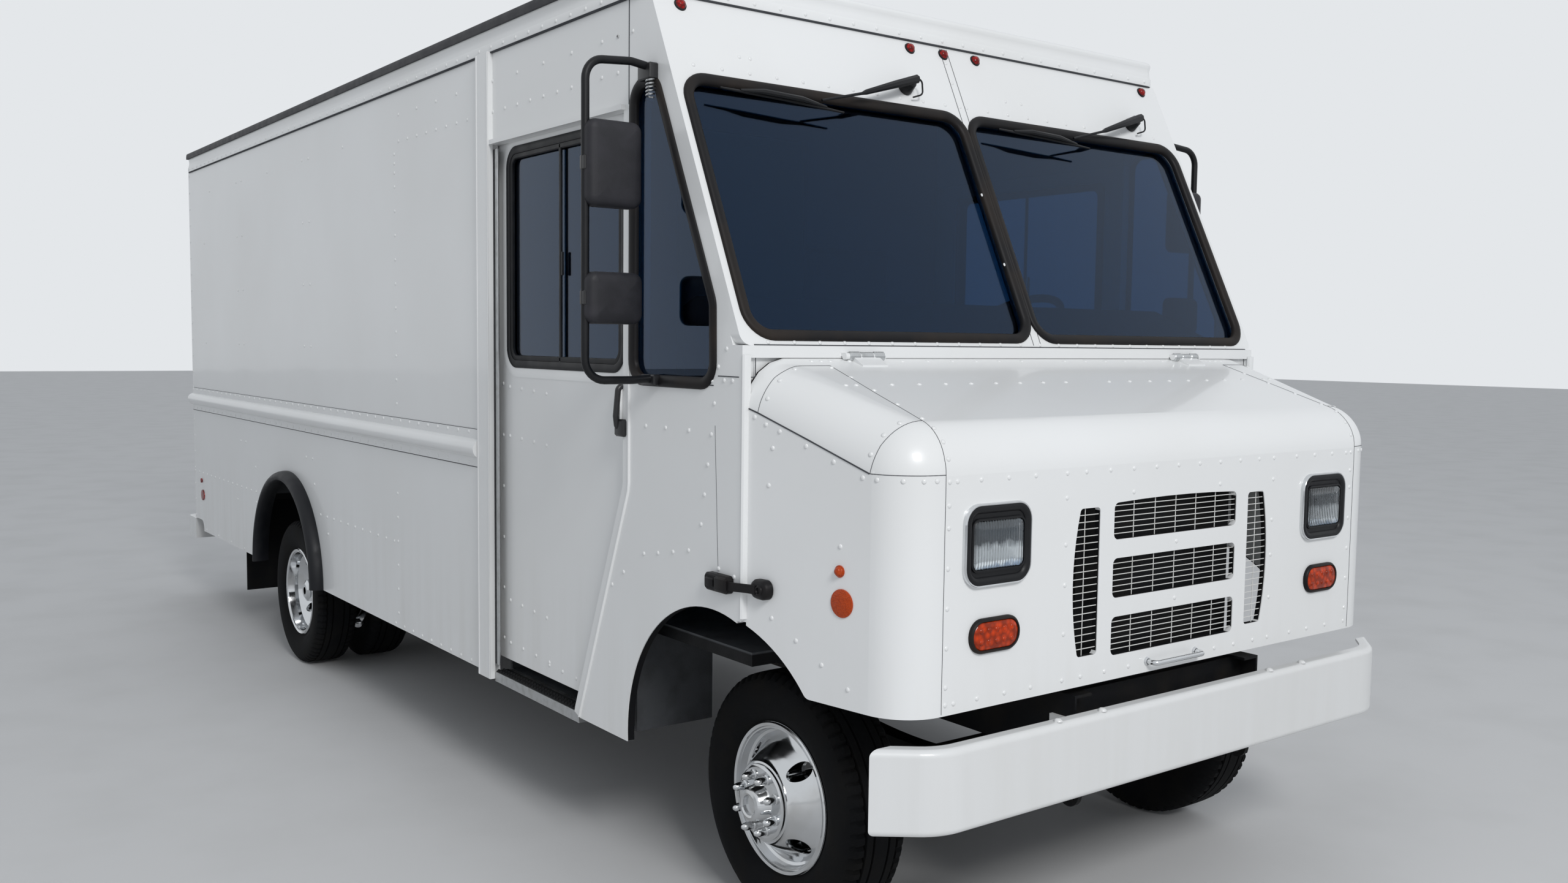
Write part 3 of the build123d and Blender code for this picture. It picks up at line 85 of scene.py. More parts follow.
finish_slots = {
    # slot of the record: the finishes that stand for it
    "body_paint": ("white_enamel", "bumper_enamel", "blank_plate"),
    "black_rubber": ("window_rubber", "flare_rubber", "flap_rubber", "chassis_black", "seam_shadow",
                     "bristle"),
    "black_plastic": ("moulded_black", "moulded_grey", "lacquered_lever"),
    "chrome_trim": ("chrome_trim", "bright_hinge", "lamp_bowl"),
    "chrome_wheel": ("chrome_cover",),
    "bare_aluminium": ("mill_aluminium",),
    "white_wire": ("wire_enamel",),
    "tyre_rubber": ("tyre_rubber",),
    "seat_vinyl": ("seat_vinyl",),
    "tinted_glass": ("clear_lens",),
    "amber_lens": ("amber_lens", "amber_reflector", "red_lens"),
}
slot_of = {finish: slot for slot, finishes in finish_slots.items() for finish in finishes}


def piece(name, surfaces, finish, body="root", hides=(), slot=None, recalc=True, sharp=40):
    """One mesh from many surfaces, in metres, smooth where its faces meet under the sharp angle."""
    slot = slot or slot_of[finish.name.split(".")[0]]
    all_points = []
    all_quads = []
    start = 0
    for surface in surfaces:
        if len(surface) == 3:
            grid, wrap_u, wrap_v = surface
            points = grid.reshape(-1, 3)
            quads = grid_faces(grid.shape[0], grid.shape[1], wrap_u, wrap_v)
        else:
            points, quads = surface
        all_points.append(points)
        all_quads.append(quads + start)
        start += len(points)
    points = np.concatenate(all_points) * MM
    quads = np.concatenate(all_quads)
    mesh = bpy.data.meshes.new(name)
    mesh.from_pydata(points.tolist(), [], quads.tolist())
    if recalc:
        work = bmesh.new()
        work.from_mesh(mesh)
        bmesh.ops.remove_doubles(work, verts=work.verts, dist=1e-6)
        bmesh.ops.recalc_face_normals(work, faces=work.faces)
        work.to_mesh(mesh)
        work.free()
    mesh.polygons.foreach_set("use_smooth", np.ones(len(mesh.polygons), bool))
    mesh.set_sharp_from_angle(angle=math.radians(sharp))
    made = bpy.data.objects.new(name, mesh)
    bpy.context.scene.collection.objects.link(made)
    mesh.materials.append(finish)
    if hides:
        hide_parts(*hides)
    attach(made, body)
    print(name, len(mesh.polygons), "faces on", body)
    return made


def pair(name, surfaces, finish, body="root", **settings):
    """One piece for both sides of the van: the surfaces and their mirror images."""
    return piece(name, mirrored(surfaces), finish, body, **settings)


# %% [markdown]
# ## Four ways to make a surface
# Nearly every fitting on a van is one of these: an outline stacked at several insets (lamps, gaskets), a
# profile turned about an axis (wheels, domes), a circle carried along a bent path (tubes), or one small shape
# repeated at many places (rivets, bolts).


# %% Surfaces
def unit(vector):
    """The vector divided by its length, along the last axis."""
    vector = np.asarray(vector, float)
    return vector / np.linalg.norm(vector, axis=-1, keepdims=True)


def outline(corners, radius, inset=0.0, steps=6):
    """A convex polygon with round corners: each edge moves in by the inset, each corner becomes an arc."""
    corners = np.asarray(corners, float)
    ahead = unit(np.roll(corners, -1, 0) - corners)
    inward = np.stack([-ahead[:, 1], ahead[:, 0]], 1)
    behind = np.roll(ahead, 1, 0)
    inward_behind = np.roll(inward, 1, 0)
    spread = 1 + (inward * inward_behind).sum(1, keepdims=True)
    arc = max(radius - inset, 0.5)
    centre = corners + (inset + arc) * (inward + inward_behind) / spread
    start = np.arctan2(-inward_behind[:, 1], -inward_behind[:, 0])
    cross = behind[:, 0] * ahead[:, 1] - behind[:, 1] * ahead[:, 0]
    turn = np.arctan2(cross, (behind * ahead).sum(1))
    angle = start[:, None] + turn[:, None] * np.linspace(0, 1, steps)
    points = centre[:, None, :] + arc * np.stack([np.cos(angle), np.sin(angle)], -1)
    return points.reshape(-1, 2)


def rect(width, height, x=0.0, y=0.0):
    """The corners of a rectangle about a centre."""
    low_x, high_x, low_y, high_y = x - width / 2, x + width / 2, y - height / 2, y + height / 2
    return [(low_x, low_y), (high_x, low_y), (high_x, high_y), (low_x, high_y)]


def stack(corners, radius, levels, origin, u, v, loop=False, steps=6):
    """Rings of one outline, each at its inset and its height along u x v; inset None is the middle point."""
    u, v = unit(u), unit(v)
    normal = np.cross(u, v)
    rings = []
    for inset, height in levels:
        flat = outline(corners, radius, inset or 0.0, steps)
        if inset is None:
            flat = np.repeat(flat.mean(0)[None], len(flat), 0)
        rings.append(np.asarray(origin) + flat[:, :1] * u + flat[:, 1:] * v + height * normal)
    return np.array(rings), loop, True


def lathe(profile, centre, axis, count=64):
    """A profile of (distance along the axis, radius) turned about the axis through a centre."""
    profile = np.asarray(profile, float)
    axis = unit(axis)
    side = unit(np.cross(axis, [0.31, 0.47, 0.83]))
    across = np.cross(axis, side)
    angle = np.linspace(0, 2 * math.pi, count, endpoint=False)
    spoke = np.cos(angle)[:, None] * side + np.sin(angle)[:, None] * across
    grid = np.asarray(centre) + profile[:, 0, None, None] * axis + profile[:, 1, None, None] * spoke
    return grid, False, True


def bent(points, radius, steps=7):
    """A path through corner points, with an arc of the radius at each inner corner."""
    points = [np.asarray(p, float) for p in points]
    path = [points[0]]
    for before, corner, after in zip(points, points[1:], points[2:]):
        way_in, way_out = unit(corner - before), unit(after - corner)
        turn = math.acos(float(np.clip(way_in @ way_out, -1, 1)))
        setback = radius * math.tan(turn / 2)
        centre = corner + unit(way_out - way_in) * radius / math.cos(turn / 2)
        from_centre = corner - way_in * setback - centre
        sweep = np.linspace(0, turn, steps)
        arc = centre + np.cos(sweep)[:, None] * from_centre + np.sin(sweep)[:, None] * radius * way_in
        path.extend(arc)
    path.append(points[-1])
    return np.array(path)


def tube(path, radius, up, sides=10):
    """A circle carried along a path and closed at both ends; up is a direction that the path never takes."""
    path = np.asarray(path, float)
    along = unit(np.gradient(path, axis=0))
    side = unit(np.cross(along, up))
    rise = np.cross(side, along)
    angle = np.linspace(0, 2 * math.pi, sides, endpoint=False)
    radius = np.broadcast_to(radius, len(path))[:, None, None]
    ring = np.cos(angle)[:, None] * side[:, None] + np.sin(angle)[:, None] * rise[:, None]
    grid = path[:, None] + radius * ring
    ends = [np.repeat(path[:1][None], sides, 1), grid, np.repeat(path[-1:][None], sides, 1)]
    return np.concatenate(ends), False, True


def strip(path, profile, up):
    """A closed profile of (sideways, along up) carried along a path and closed at both ends."""
    path = np.asarray(path, float)
    along = unit(np.gradient(path, axis=0))
    up = np.broadcast_to(unit(up), path.shape)
    side = unit(np.cross(along, up))
    profile = np.asarray(profile, float)
    grid = path[:, None] + profile[:, 0, None] * side[:, None] + profile[:, 1, None] * up[:, None]
    middle = grid.mean(1, keepdims=True)
    first = np.repeat(middle[:1], len(profile), 1)
    last = np.repeat(middle[-1:], len(profile), 1)
    return np.concatenate([first, grid, last]), False, True


def block(low, high, bevel=2.0):
    """A box between two corners, its edges eased: a rectangle stacked with a bevelled inset at each end."""
    low, high = np.minimum(low, high), np.maximum(low, high)
    size = high - low
    middle = (low + high) / 2
    levels = [(None, 0), (bevel, 0), (0, bevel), (0, size[2] - bevel), (bevel, size[2]), (None, size[2])]
    base = (middle[0], middle[1], low[2])
    return stack(rect(size[0], size[1]), bevel, levels, base, (1, 0, 0), (0, 1, 0), steps=3)


def scatter(template, centres, normals):
    """Copies of one small mesh, its z turned to each normal, at all the centres at once."""
    points, quads = template
    centres = np.asarray(centres, float)
    normals = unit(np.broadcast_to(normals, centres.shape))
    helper = np.where(np.abs(normals[:, 2:]) < 0.9, [[0.0, 0.0, 1.0]], [[1.0, 0.0, 0.0]])
    side = unit(np.cross(helper, normals))
    across = np.cross(normals, side)
    axes = np.stack([side, across, normals], 1)
    placed = centres[:, None] + np.einsum("pk,nkc->npc", points, axes)
    faces = quads[None] + (np.arange(len(centres)) * len(points))[:, None, None]
    return placed.reshape(-1, 3), faces.reshape(-1, 4)


def dome(radius, height, sides=8):
    """A low dome of three rings, closed by three faces on top."""
    angle = np.arange(sides) * 2 * math.pi / sides
    circle = np.stack([np.cos(angle), np.sin(angle)], 1)
    rings = [np.column_stack([circle * radius * k, np.full(sides, height * z)]) for k, z in
             ((1.0, 0.0), (0.84, 0.62), (0.45, 0.95))]
    quads = grid_faces(3, sides, False, True)[:, ::-1]
    top = 2 * sides + np.array([(0, 1, 2, 3), (0, 3, 4, 7), (7, 4, 5, 6)])
    return np.concatenate(rings), np.concatenate([quads, top])


print("surface helpers ready")

# %% [markdown]
# ## Finishes
# A step van is an aluminium body with sprayed gloss enamel, moulded rubber round every window, chromed
# steel wheel covers and painted steel below. Each finish is a node tree on Object coordinates, so a pattern
# keeps its real size in millimetres whatever panel it lies on. One function turns sRGB hex to the linear
# values that a shader wants, one adds a node with its settings and links, and the short ones name the few
# nodes that every finish here is made of.


# %% Small node helpers
def linear(hex_text):
    """sRGB hex to linear: below 0.04045 a straight line, above it the power 2.4."""
    value = np.array([int(hex_text[i:i + 2], 16) for i in (1, 3, 5)]) / 255
    value = np.where(value <= 0.04045, value / 12.92, ((value + 0.055) / 1.055) ** 2.4)
    return (*value.tolist(), 1.0)


def add(tree, kind, inputs=None, **settings):
    """Adds a node with its settings; each input is a value, or another node's output to link."""
    new = tree.nodes.new("ShaderNode" + kind)
    for key, value in settings.items():
        setattr(new, key, value)
    for key, value in (inputs or {}).items():
        if isinstance(value, bpy.types.NodeSocket):
            tree.links.new(value, new.inputs[key])
        else:
            new.inputs[key].default_value = value
    return new


def ramp(tree, value, low, high, foot=0.0, head=1.0):
    """The value's stretch from low to high, carried in a straight line to foot and head, and held beyond."""
    return add(tree, "MapRange", {0: value, 1: low, 2: high, 3: foot, 4: head}).outputs[0]


def noise(tree, where, scale, detail):
    """Soft random spots between 0 and 1: about 1 / scale metres from one to the next."""
    return add(tree, "TexNoise", {"Vector": where, "Scale": scale, "Detail": detail}).outputs[0]


def blend(tree, share, first, second):
    """The first colour at share 0 and the second at 1; each is sRGB hex or another node's output."""
    first, second = (linear(c) if isinstance(c, str) else c for c in (first, second))
    return add(tree, "Mix", {"Factor": share, 6: first, 7: second}, data_type="RGBA").outputs[2]


def math_node(tree, operation, *values, **settings):
    """One step of arithmetic on outputs or numbers."""
    return add(tree, "Math", dict(enumerate(values)), operation=operation, **settings).outputs[0]


def relief(tree, height, strength, depth):
    """A bump: the height times a depth in metres, felt as much as the strength says."""
    return add(tree, "Bump", {"Height": height, "Strength": strength, "Distance": depth}).outputs[0]


def surface(name, **sockets):
    """A material with one Principled shader, its sockets set, and the Object coordinates to pattern it by."""
    made = bpy.data.materials.new(name)
    made.use_nodes = True
    tree = made.node_tree
    shader = tree.nodes["Principled BSDF"]
    for key, value in sockets.items():
        shader.inputs[key.replace("_", " ")].default_value = value
    where = add(tree, "TexCoord").outputs["Object"]
    return made, tree, shader, where


# %% [markdown]
# ### Sprayed enamel on aluminium
# The skin is thin sheet riveted to posts, so it is never quite flat: a slow wave of about 0.6 m shows in its
# gloss. Road film settles on the lowest metre and runs down in streaks. Both are noise in real metres.


# %% White enamel
def enamel(name, clean, film, amount, gloss):
    """Gloss enamel: the film's share grows towards the ground and breaks up into vertical streaks."""
    made, tree, shader, where = surface(name, Roughness=gloss, Coat_Weight=0.35, Coat_Roughness=0.06)
    height = add(tree, "SeparateXYZ", {0: where}).outputs["Z"]
    low = ramp(tree, height, 1.05, 0.42)
    stretched = add(tree, "Mapping", {"Vector": where, "Scale": (9.0, 9.0, 0.9)}).outputs[0]
    streaks = ramp(tree, noise(tree, stretched, 1.6, 6.0), 0.42, 0.72)
    faint = ramp(tree, noise(tree, where, 1.1, 3.0), 0.35, 0.75, 0.0, 0.10)
    dirt = math_node(tree, "MULTIPLY", low, streaks)
    share = math_node(tree, "MULTIPLY_ADD", dirt, amount, faint, use_clamp=True)
    tree.links.new(blend(tree, share, clean, film), shader.inputs["Base Color"])
    tree.links.new(ramp(tree, share, 0.0, 0.6, gloss, gloss + 0.3), shader.inputs["Roughness"])
    bump = relief(tree, noise(tree, where, 1.7, 1.0), 0.5, 0.004)
    tree.links.new(bump, shader.inputs["Normal"])
    tree.links.new(bump, shader.inputs["Coat Normal"])
    return made


white_enamel = enamel("white_enamel", "#EDEEEE", "#B0AA9C", 0.15, 0.30)
bumper_enamel = enamel("bumper_enamel", "#E4E5E5", "#A79F90", 0.08, 0.36)
inner_enamel = enamel("inner_enamel", "#4A5560", "#3E434A", 0.30, 0.5)
print("enamels", white_enamel.name, bumper_enamel.name, inner_enamel.name)

# %% [markdown]
# ### Metals, rubber, plastics and glass
# Chrome is metallic with a low roughness, and road dust dulls it in specks. Rubber is dark and rough, with a
# brown bloom where the sun has aged it. Moulded plastic has a fine grain of about 1 mm. Tinted safety glass
# is a clear slab with a blue-green body colour.


# %% Speckled finishes
def speckled(name, base, spots, share, rough, metal=0.0, scale=14.0, grain=0.0, grain_mm=3.0, **more):
    """Two colours mixed by noise, with an optional fine grain as bump."""
    made, tree, shader, where = surface(name, Metallic=metal, Roughness=rough, **more)
    cloud = noise(tree, where, scale, 5.0)
    mixed = blend(tree, ramp(tree, cloud, 0.45, 0.75, 0.0, share), base, spots)
    tree.links.new(mixed, shader.inputs["Base Color"])
    tree.links.new(ramp(tree, cloud, 0.4, 0.8, rough, min(rough + 0.18, 1.0)), shader.inputs["Roughness"])
    if grain:
        fine = noise(tree, where, 1000 / grain_mm, 2.0)
        tree.links.new(relief(tree, fine, grain, MM), shader.inputs["Normal"])
    return made


window_rubber = speckled("window_rubber", "#131214", "#3A3129", 0.45, 0.45, scale=5.0, Specular_IOR_Level=0.2)
flare_rubber = speckled("flare_rubber", "#0F1116", "#1F2024", 0.5, 0.45, grain=0.2, Specular_IOR_Level=0.3)
tyre_rubber = speckled("tyre_rubber", "#0F1012", "#211F1C", 0.6, 0.85, scale=9.0, grain=0.5, grain_mm=2.5,
                       Specular_IOR_Level=0.15)
flap_rubber = speckled("flap_rubber", "#101113", "#25231F", 0.5, 0.7, grain=0.4, Specular_IOR_Level=0.2)
chrome_cover = speckled("chrome_cover", "#D2D4D6", "#A9A49C", 0.35, 0.07, metal=1.0, scale=11.0)
chrome_trim = speckled("chrome_trim", "#D8DADC", "#B4B2AD", 0.2, 0.08, metal=1.0)
mill_aluminium = speckled("mill_aluminium", "#B9BBBC", "#8D8C88", 0.5, 0.38, metal=1.0, scale=30.0)
chassis_black = speckled("chassis_black", "#0D0E11", "#27231D", 0.55, 0.6, scale=7.0, grain=0.4,
                         Specular_IOR_Level=0.2)
cast_iron = speckled("cast_iron", "#2A2826", "#4D4236", 0.6, 0.72, scale=18.0, grain=0.6)
exhaust_steel = speckled("exhaust_steel", "#6A5C4E", "#3E2F25", 0.8, 0.6, metal=0.7, scale=20.0)
grey_deck = speckled("grey_deck", "#4C4E51", "#2F2F30", 0.6, 0.6, scale=12.0, grain=0.5, grain_mm=5.0)
moulded_grey = speckled("moulded_grey", "#27272B", "#38373D", 0.5, 0.5, scale=16.0, grain=0.35, grain_mm=3.0,
                        Specular_IOR_Level=0.3)
moulded_black = speckled("moulded_black", "#0E0F12", "#1D1D21", 0.5, 0.4, scale=16.0, grain=0.2,
                         Specular_IOR_Level=0.3)
dash_plastic = speckled("dash_plastic", "#171A1F", "#23272C", 0.5, 0.6, grain=0.4, Specular_IOR_Level=0.2)
seat_vinyl = speckled("seat_vinyl", "#181B21", "#242830", 0.4, 0.5, grain=0.6, grain_mm=4.0)
bright_hinge = speckled("bright_hinge", "#C9CBCC", "#9A9B99", 0.4, 0.25, metal=1.0, scale=40.0)
wire_enamel = speckled("wire_enamel", "#E6E6E3", "#B5AFA4", 0.3, 0.35)
seam_shadow = speckled("seam_shadow", "#4A4C50", "#333437", 0.5, 0.7, Specular_IOR_Level=0.2)
bristle = speckled("bristle", "#202124", "#5A5C5F", 0.7, 0.9, scale=400.0)
lacquered_lever = speckled("lacquered_lever", "#1B1B1D", "#3A3A3C", 0.4, 0.32)
blank_plate = speckled("blank_plate", "#D9D9D6", "#B9B7B0", 0.3, 0.45)
print("speckled finishes ready")

# %% [markdown]
# The floor is one sheet part: a grey speckled deck on top, in the cab and in the step wells, and near-black
# below the deck's height where it makes the wheel housings, a painted shade for the dark inside of the
# arches.
# One finish does both, because the height tells them apart.

# %% Painted shade below the deck
deck_tree = grey_deck.node_tree
deck_shader = deck_tree.nodes["Principled BSDF"]
deck_colour = deck_shader.inputs["Base Color"].links[0].from_socket
deck_place = add(deck_tree, "SeparateXYZ", {0: add(deck_tree, "TexCoord").outputs["Object"]})
deck_underside, deck_top = 0.852, 0.856
step_middle_y, step_half_length = -1.79, 0.515
above_floor = ramp(deck_tree, deck_place.outputs["Z"], deck_underside, deck_top)
in_step = math_node(deck_tree, "COMPARE", deck_place.outputs["Y"], step_middle_y, step_half_length)
on_deck = math_node(deck_tree, "MAXIMUM", above_floor, in_step)
# Near-black below the deck's height, outside the step wells: painted shade for the dark inside of the arches.
deck_tree.links.new(blend(deck_tree, on_deck, "#0C0D0F", deck_colour), deck_shader.inputs["Base Color"])
deck_shader.inputs["Specular IOR Level"].default_value = 0.2
print("deck and undercoat in one finish")

# %% Glass and lenses
tinted_glass, *_ = surface("tinted_glass", Base_Color=linear("#3F6484"), Roughness=0.0, IOR=1.5,
                           Transmission_Weight=1.0, Specular_IOR_Level=0.4, Specular_Tint=linear("#8CC0FF"))
clear_lens, lens_tree, lens_shader, lens_where = surface(
    "clear_lens", Base_Color=linear("#F2F6F8"), Roughness=0.03, IOR=1.5, Transmission_Weight=1.0)
flutes = add(lens_tree, "TexWave", {"Vector": lens_where, "Scale": 32.0, "Distortion": 0.0},
             wave_type="BANDS", bands_direction="X").outputs["Color"]
lens_tree.links.new(relief(lens_tree, flutes, 0.45, MM), lens_shader.inputs["Normal"])


def moulded_lens(name, body, deep, scale):
    """Coloured acrylic, dimpled by a cell pattern of small round facets: each facet's middle is a painted
    highlight, its rim the darker lens colour.
    """
    made, tree, shader, where = surface(name, Roughness=0.16, Coat_Weight=0.1, Coat_Roughness=0.03,
                                        Specular_IOR_Level=0.25)
    cells = add(tree, "TexVoronoi", {"Vector": where, "Scale": scale}).outputs["Distance"]
    # Bright facet middles are a painted highlight; the darker rims are the lens's own colour.
    tree.links.new(blend(tree, ramp(tree, cells, 0.1, 0.7), body, deep), shader.inputs["Base Color"])
    tree.links.new(relief(tree, cells, 0.4, 0.003), shader.inputs["Normal"])
    return made


amber_lens = moulded_lens("amber_lens", "#D23F05", "#8A2702", 60.0)
amber_reflector = moulded_lens("amber_reflector", "#C4480A", "#A83A06", 260.0)
red_lens = moulded_lens("red_lens", "#B01813", "#5E0A08", 90.0)
# The bowl's colour is a painted reflection, set by height: bluish at the foot, a bright white band across the
# lower middle, dark grey above.
lamp_bowl, bowl_tree, bowl_shader, bowl_where = surface("lamp_bowl", Metallic=1.0, Roughness=0.08)
bowl_height = add(bowl_tree, "SeparateXYZ", {0: bowl_where}).outputs["Z"]
bowl_edge = math_node(bowl_tree, "MULTIPLY_ADD", noise(bowl_tree, bowl_where, 30.0, 2.0), 0.05, bowl_height)
bowl_painted_bright_band = blend(bowl_tree, ramp(bowl_tree, bowl_edge, 1.190, 1.204), "#8FA3BC", "#FFFFFF")
bowl_painted_reflection = blend(bowl_tree, ramp(bowl_tree, bowl_edge, 1.236, 1.252), bowl_painted_bright_band, "#5C6268")
bowl_tree.links.new(bowl_painted_reflection, bowl_shader.inputs["Base Color"])
print("glass and lenses ready")

# %% [markdown]
# ### The CAD panels take their finishes
# Every node keeps its shape from the frame and only changes its material, set on the object's own slots.

# %% Finishes on the CAD nodes
by_slot = {
    "body_paint": white_enamel, "inner_paint": inner_enamel, "grey_deck": grey_deck,
    "steel_black": chassis_black, "cast_steel": cast_iron, "exhaust_steel": exhaust_steel,
    "bare_aluminium": mill_aluminium, "chrome_trim": chrome_trim, "chrome_wheel": chrome_cover,
    "white_wire": wire_enamel, "black_rubber": flare_rubber, "tyre_rubber": tyre_rubber,
    "black_plastic": moulded_black, "seat_vinyl": seat_vinyl, "amber_lens": amber_lens,
    "red_lens": red_lens, "tinted_glass": tinted_glass,
}
by_node = {"front_bumper": bumper_enamel, "rear_bumper": bumper_enamel, "mud_flaps": flap_rubber,
           "dashboard": dash_plastic, "radiator": chassis_black}
for part in frame["record"]["subparts"]:
    panel = frame["nodes"][part["node"]]
    finish = by_node.get(part["node"], by_slot[part["material_slot"]])
    if not panel.material_slots:
        panel.data.materials.append(finish)
    for panel_slot in panel.material_slots:
        panel_slot.link = "OBJECT"
        panel_slot.material = finish

# %% [markdown]
# ## Where things are
# The sizes of the body that the pieces below line up with, in millimetres: x to the van's left, y to its
# rear, z up. The windscreen leans back by 25 degrees, so it gets its own origin and directions.

# %% Body sizes
side_x = 1170
wall = -side_x
out = (-1, 0, 0)
door_face = -1140
sill_z, flange_z = 1726, 2767
front_y, nose_y, cab_y, body_end_y = -3545, -3470, -2895, 3325
front_axle_y, rear_axle_y, axle_z = -2765, 1248, 377
front_track, rear_outer_track, rear_inner_track = 838, 1040, 748
front_arch, front_arch_radius = (front_axle_y, 508), 470
rear_arch, rear_arch_radius = (rear_axle_y, 480), 520
hood_nose_x, hood_nose_z = 1063, 1508
hood_taper, hood_slope, hood_roll = 0.169, 0.325, 140
pitch = 101.5
rake = math.radians(25.27)
screen_o = np.array([0.0, cab_y - 13.0, sill_z])
screen_u = np.array([1.0, 0.0, 0.0])
screen_v = np.array([0.0, math.sin(rake), math.cos(rake)])
screen_n = np.cross(screen_u, screen_v)
front_plane = ((1, 0, 0), (0, 0, 1))
side_plane = ((0, -1, 0), (0, 0, 1))
rear_plane = ((-1, 0, 0), (0, 0, 1))


def on_screen(x, s, proud=0.0):
    """A point at x across and s up the windscreen's slope, proud of its outer face."""
    return screen_o + x * screen_u + s * screen_v + proud * screen_n


def screen_lean(z, depth=0.0):
    """The y of the windscreen's face at a height, at a depth behind it."""
    return screen_o[1] + (z - screen_o[2]) * math.tan(rake) + depth / math.cos(rake)


print("screen normal", screen_n.round(3))

# %% [markdown]
# ## Rivets
# The skin is held by brazier-head rivets, low domes about 14 mm across, painted over with the body. They sit
# on a pitch of 4 inches, 101.5 mm, along posts, rails and seams. A rivet could be bump, but its highlight and
# its small shadow are what says riveted aluminium, so each is a real dome of 19 faces, copied at once from
# tables of rows.


# %% Rivet rows
rivet = dome(7.0, 3.4)


def row(start, end, step):
    """Points from start to end, as near to the step apart as fits evenly."""
    start, end = np.asarray(start, float), np.asarray(end, float)
    count = max(1, round(float(np.linalg.norm(end - start)) / step))
    return start + np.linspace(0, 1, count + 1)[:, None] * (end - start)


def side_rows(x, table):
    """The points of every row in a table of start (y, z), end (y, z) and pitch, all at one x."""
    return np.concatenate([row((x, *start), (x, *end), step) for start, end, step in table])


def rivets(name, groups, both=True):
    """One mesh for many rivets; each group is its centres and the way they face."""
    surfaces = [scatter(rivet, centres, normal) for centres, normal in groups]
    piece(name, mirrored(surfaces) if both else surfaces, white_enamel, recalc=False)


cargo_rows = [
    # start (y, z), end (y, z), pitch
    ((-377, 2554), (-1189, 2554), pitch),
    ((-377, 2664), (-1189, 2664), 2 * pitch),
    ((-325, 2369), (-325, 1450), pitch),
    ((-325, 2505), (-325, 2427), 40),
    ((-325, 1063), (-325, 540), pitch),
    ((-289, 490), (-1197, 490), pitch),
    ((1850, 490), (3040, 490), 3 * pitch),
    ((-281, 850), (732, 850), pitch),
    ((1882, 850), (3300, 850), pitch),
    ((3305, 2740), (3305, 560), pitch),
]
pairs = [(wall, y, z) for y in (2185, 2078, 950, 845) for z in (2606, 2298, 1990, 1682, 1120)]
singles = [(wall, y, 2606) for y in (2794, 1560, 331)] + [(wall, 2950, z) for z in (2298, 1682)]
near_flare = [(wall, y, z) for y, z in ((822, 993), (1882, 990), (1880, 790), (2275, 767), (620, 767))]
rail_face = wall - 4
rail_dots = np.concatenate([row((rail_face, -1195, z), (rail_face, 3300, z), pitch) for z in (1262, 1379)])
rivets("rivets_cargo_sides", [(side_rows(wall, cargo_rows), out), (pairs + singles + near_flare, out),
                              (rail_dots, out)])
rail_edges = [tube(row((wall - 1, -1208, z), (wall - 1, 3316, z), 300), bead, (0, 0, 1), 6)
              for z, bead in ((1247.6, 2.6), (1390.6, 1.2))]
pair("rub_rail_edges", rail_edges, seam_shadow)

header_rows = [
    ((-1315, 2554), (-2228, 2554), pitch),
    ((-1315, 2664), (-2127, 2664), 2 * pitch),
    ((-2228, 2664), (-2228, 2664), pitch),
    ((-2318, 2664), (-2318, 2470), 97),
]
rivets("rivets_door_headers", [(side_rows(wall, header_rows), out)])

cab_side_dots = [
    # y, z
    (-2335, 1628), (-2298, 1550), (-2298, 1473), (-2298, 1398), (-2299, 1321), (-2283, 1232), (-2243, 1139),
    (-2201, 1045), (-2161, 951), (-2199, 959), (-2271, 1010), (-2118, 857), (-2078, 763), (-2038, 669),
    (-1998, 575),
    (-2834, 1715), (-2794, 1665), (-2707, 1626), (-2762, 1626), (-2823, 1628), (-2864, 1628), (-2775, 1562),
    (-2761, 1474), (-2744, 1387), (-2728, 1300), (-2712, 1213), (-2403, 1477), (-2517, 1478), (-2644, 1478),
    (-2804, 1098), (-2880, 1086), (-2395, 1085), (-2477, 1098), (-2562, 1113), (-2647, 1129),
]
rivets("rivets_cab_sides", [([(wall, y, z) for y, z in cab_side_dots], out)])

roof_out = 8
flange_proud = 3
flange_row_z = flange_z + 14
roof_front = screen_lean(flange_z) - roof_out
roof_face = wall - roof_out - flange_proud
roof_rows = row((roof_face, roof_front + 80, flange_row_z), (roof_face, body_end_y - 60, flange_row_z), pitch)
front_row, back_row = (row((wall + 70, y, flange_row_z), (side_x - 70, y, flange_row_z), pitch)
                       for y in (roof_front - flange_proud, body_end_y + roof_out + flange_proud))
rivets("rivets_roof_sides", [(roof_rows, out)])
rivets("rivets_roof_ends", [(front_row, (0, -1, 0)), (back_row, (0, 1, 0))], both=False)

# %% [markdown]
# ## Roof
# The roof sheet stands upright all round, is riveted through a flange at its foot, and turns over into a
# nearly flat top. Its upright part is drawn in a little, which shows as a soft band of light. Dark grey drip
# rails stand along the two long edges, and a thin line of sealant shows below the flange. The sheet replaces
# the CAD roof, whose edge is a plain round.


# %% Roof sheet, flange and sealant
def around_roof(name, reach, profile, finish, loop=True, hides=()):
    """A band round the roof: its plan, grown by reach, stacked through a profile of (outward, height)."""
    front = screen_lean(flange_z)
    corners = [(wall, front), (side_x, front), (side_x, body_end_y), (wall, body_end_y)]
    levels = [(None if a is None else -reach - a, h) for a, h in profile]
    band = stack(corners, 52, levels, (0, 0, flange_z), (1, 0, 0), (0, 1, 0), loop=loop, steps=9)
    piece(name, [band], finish, hides=hides)


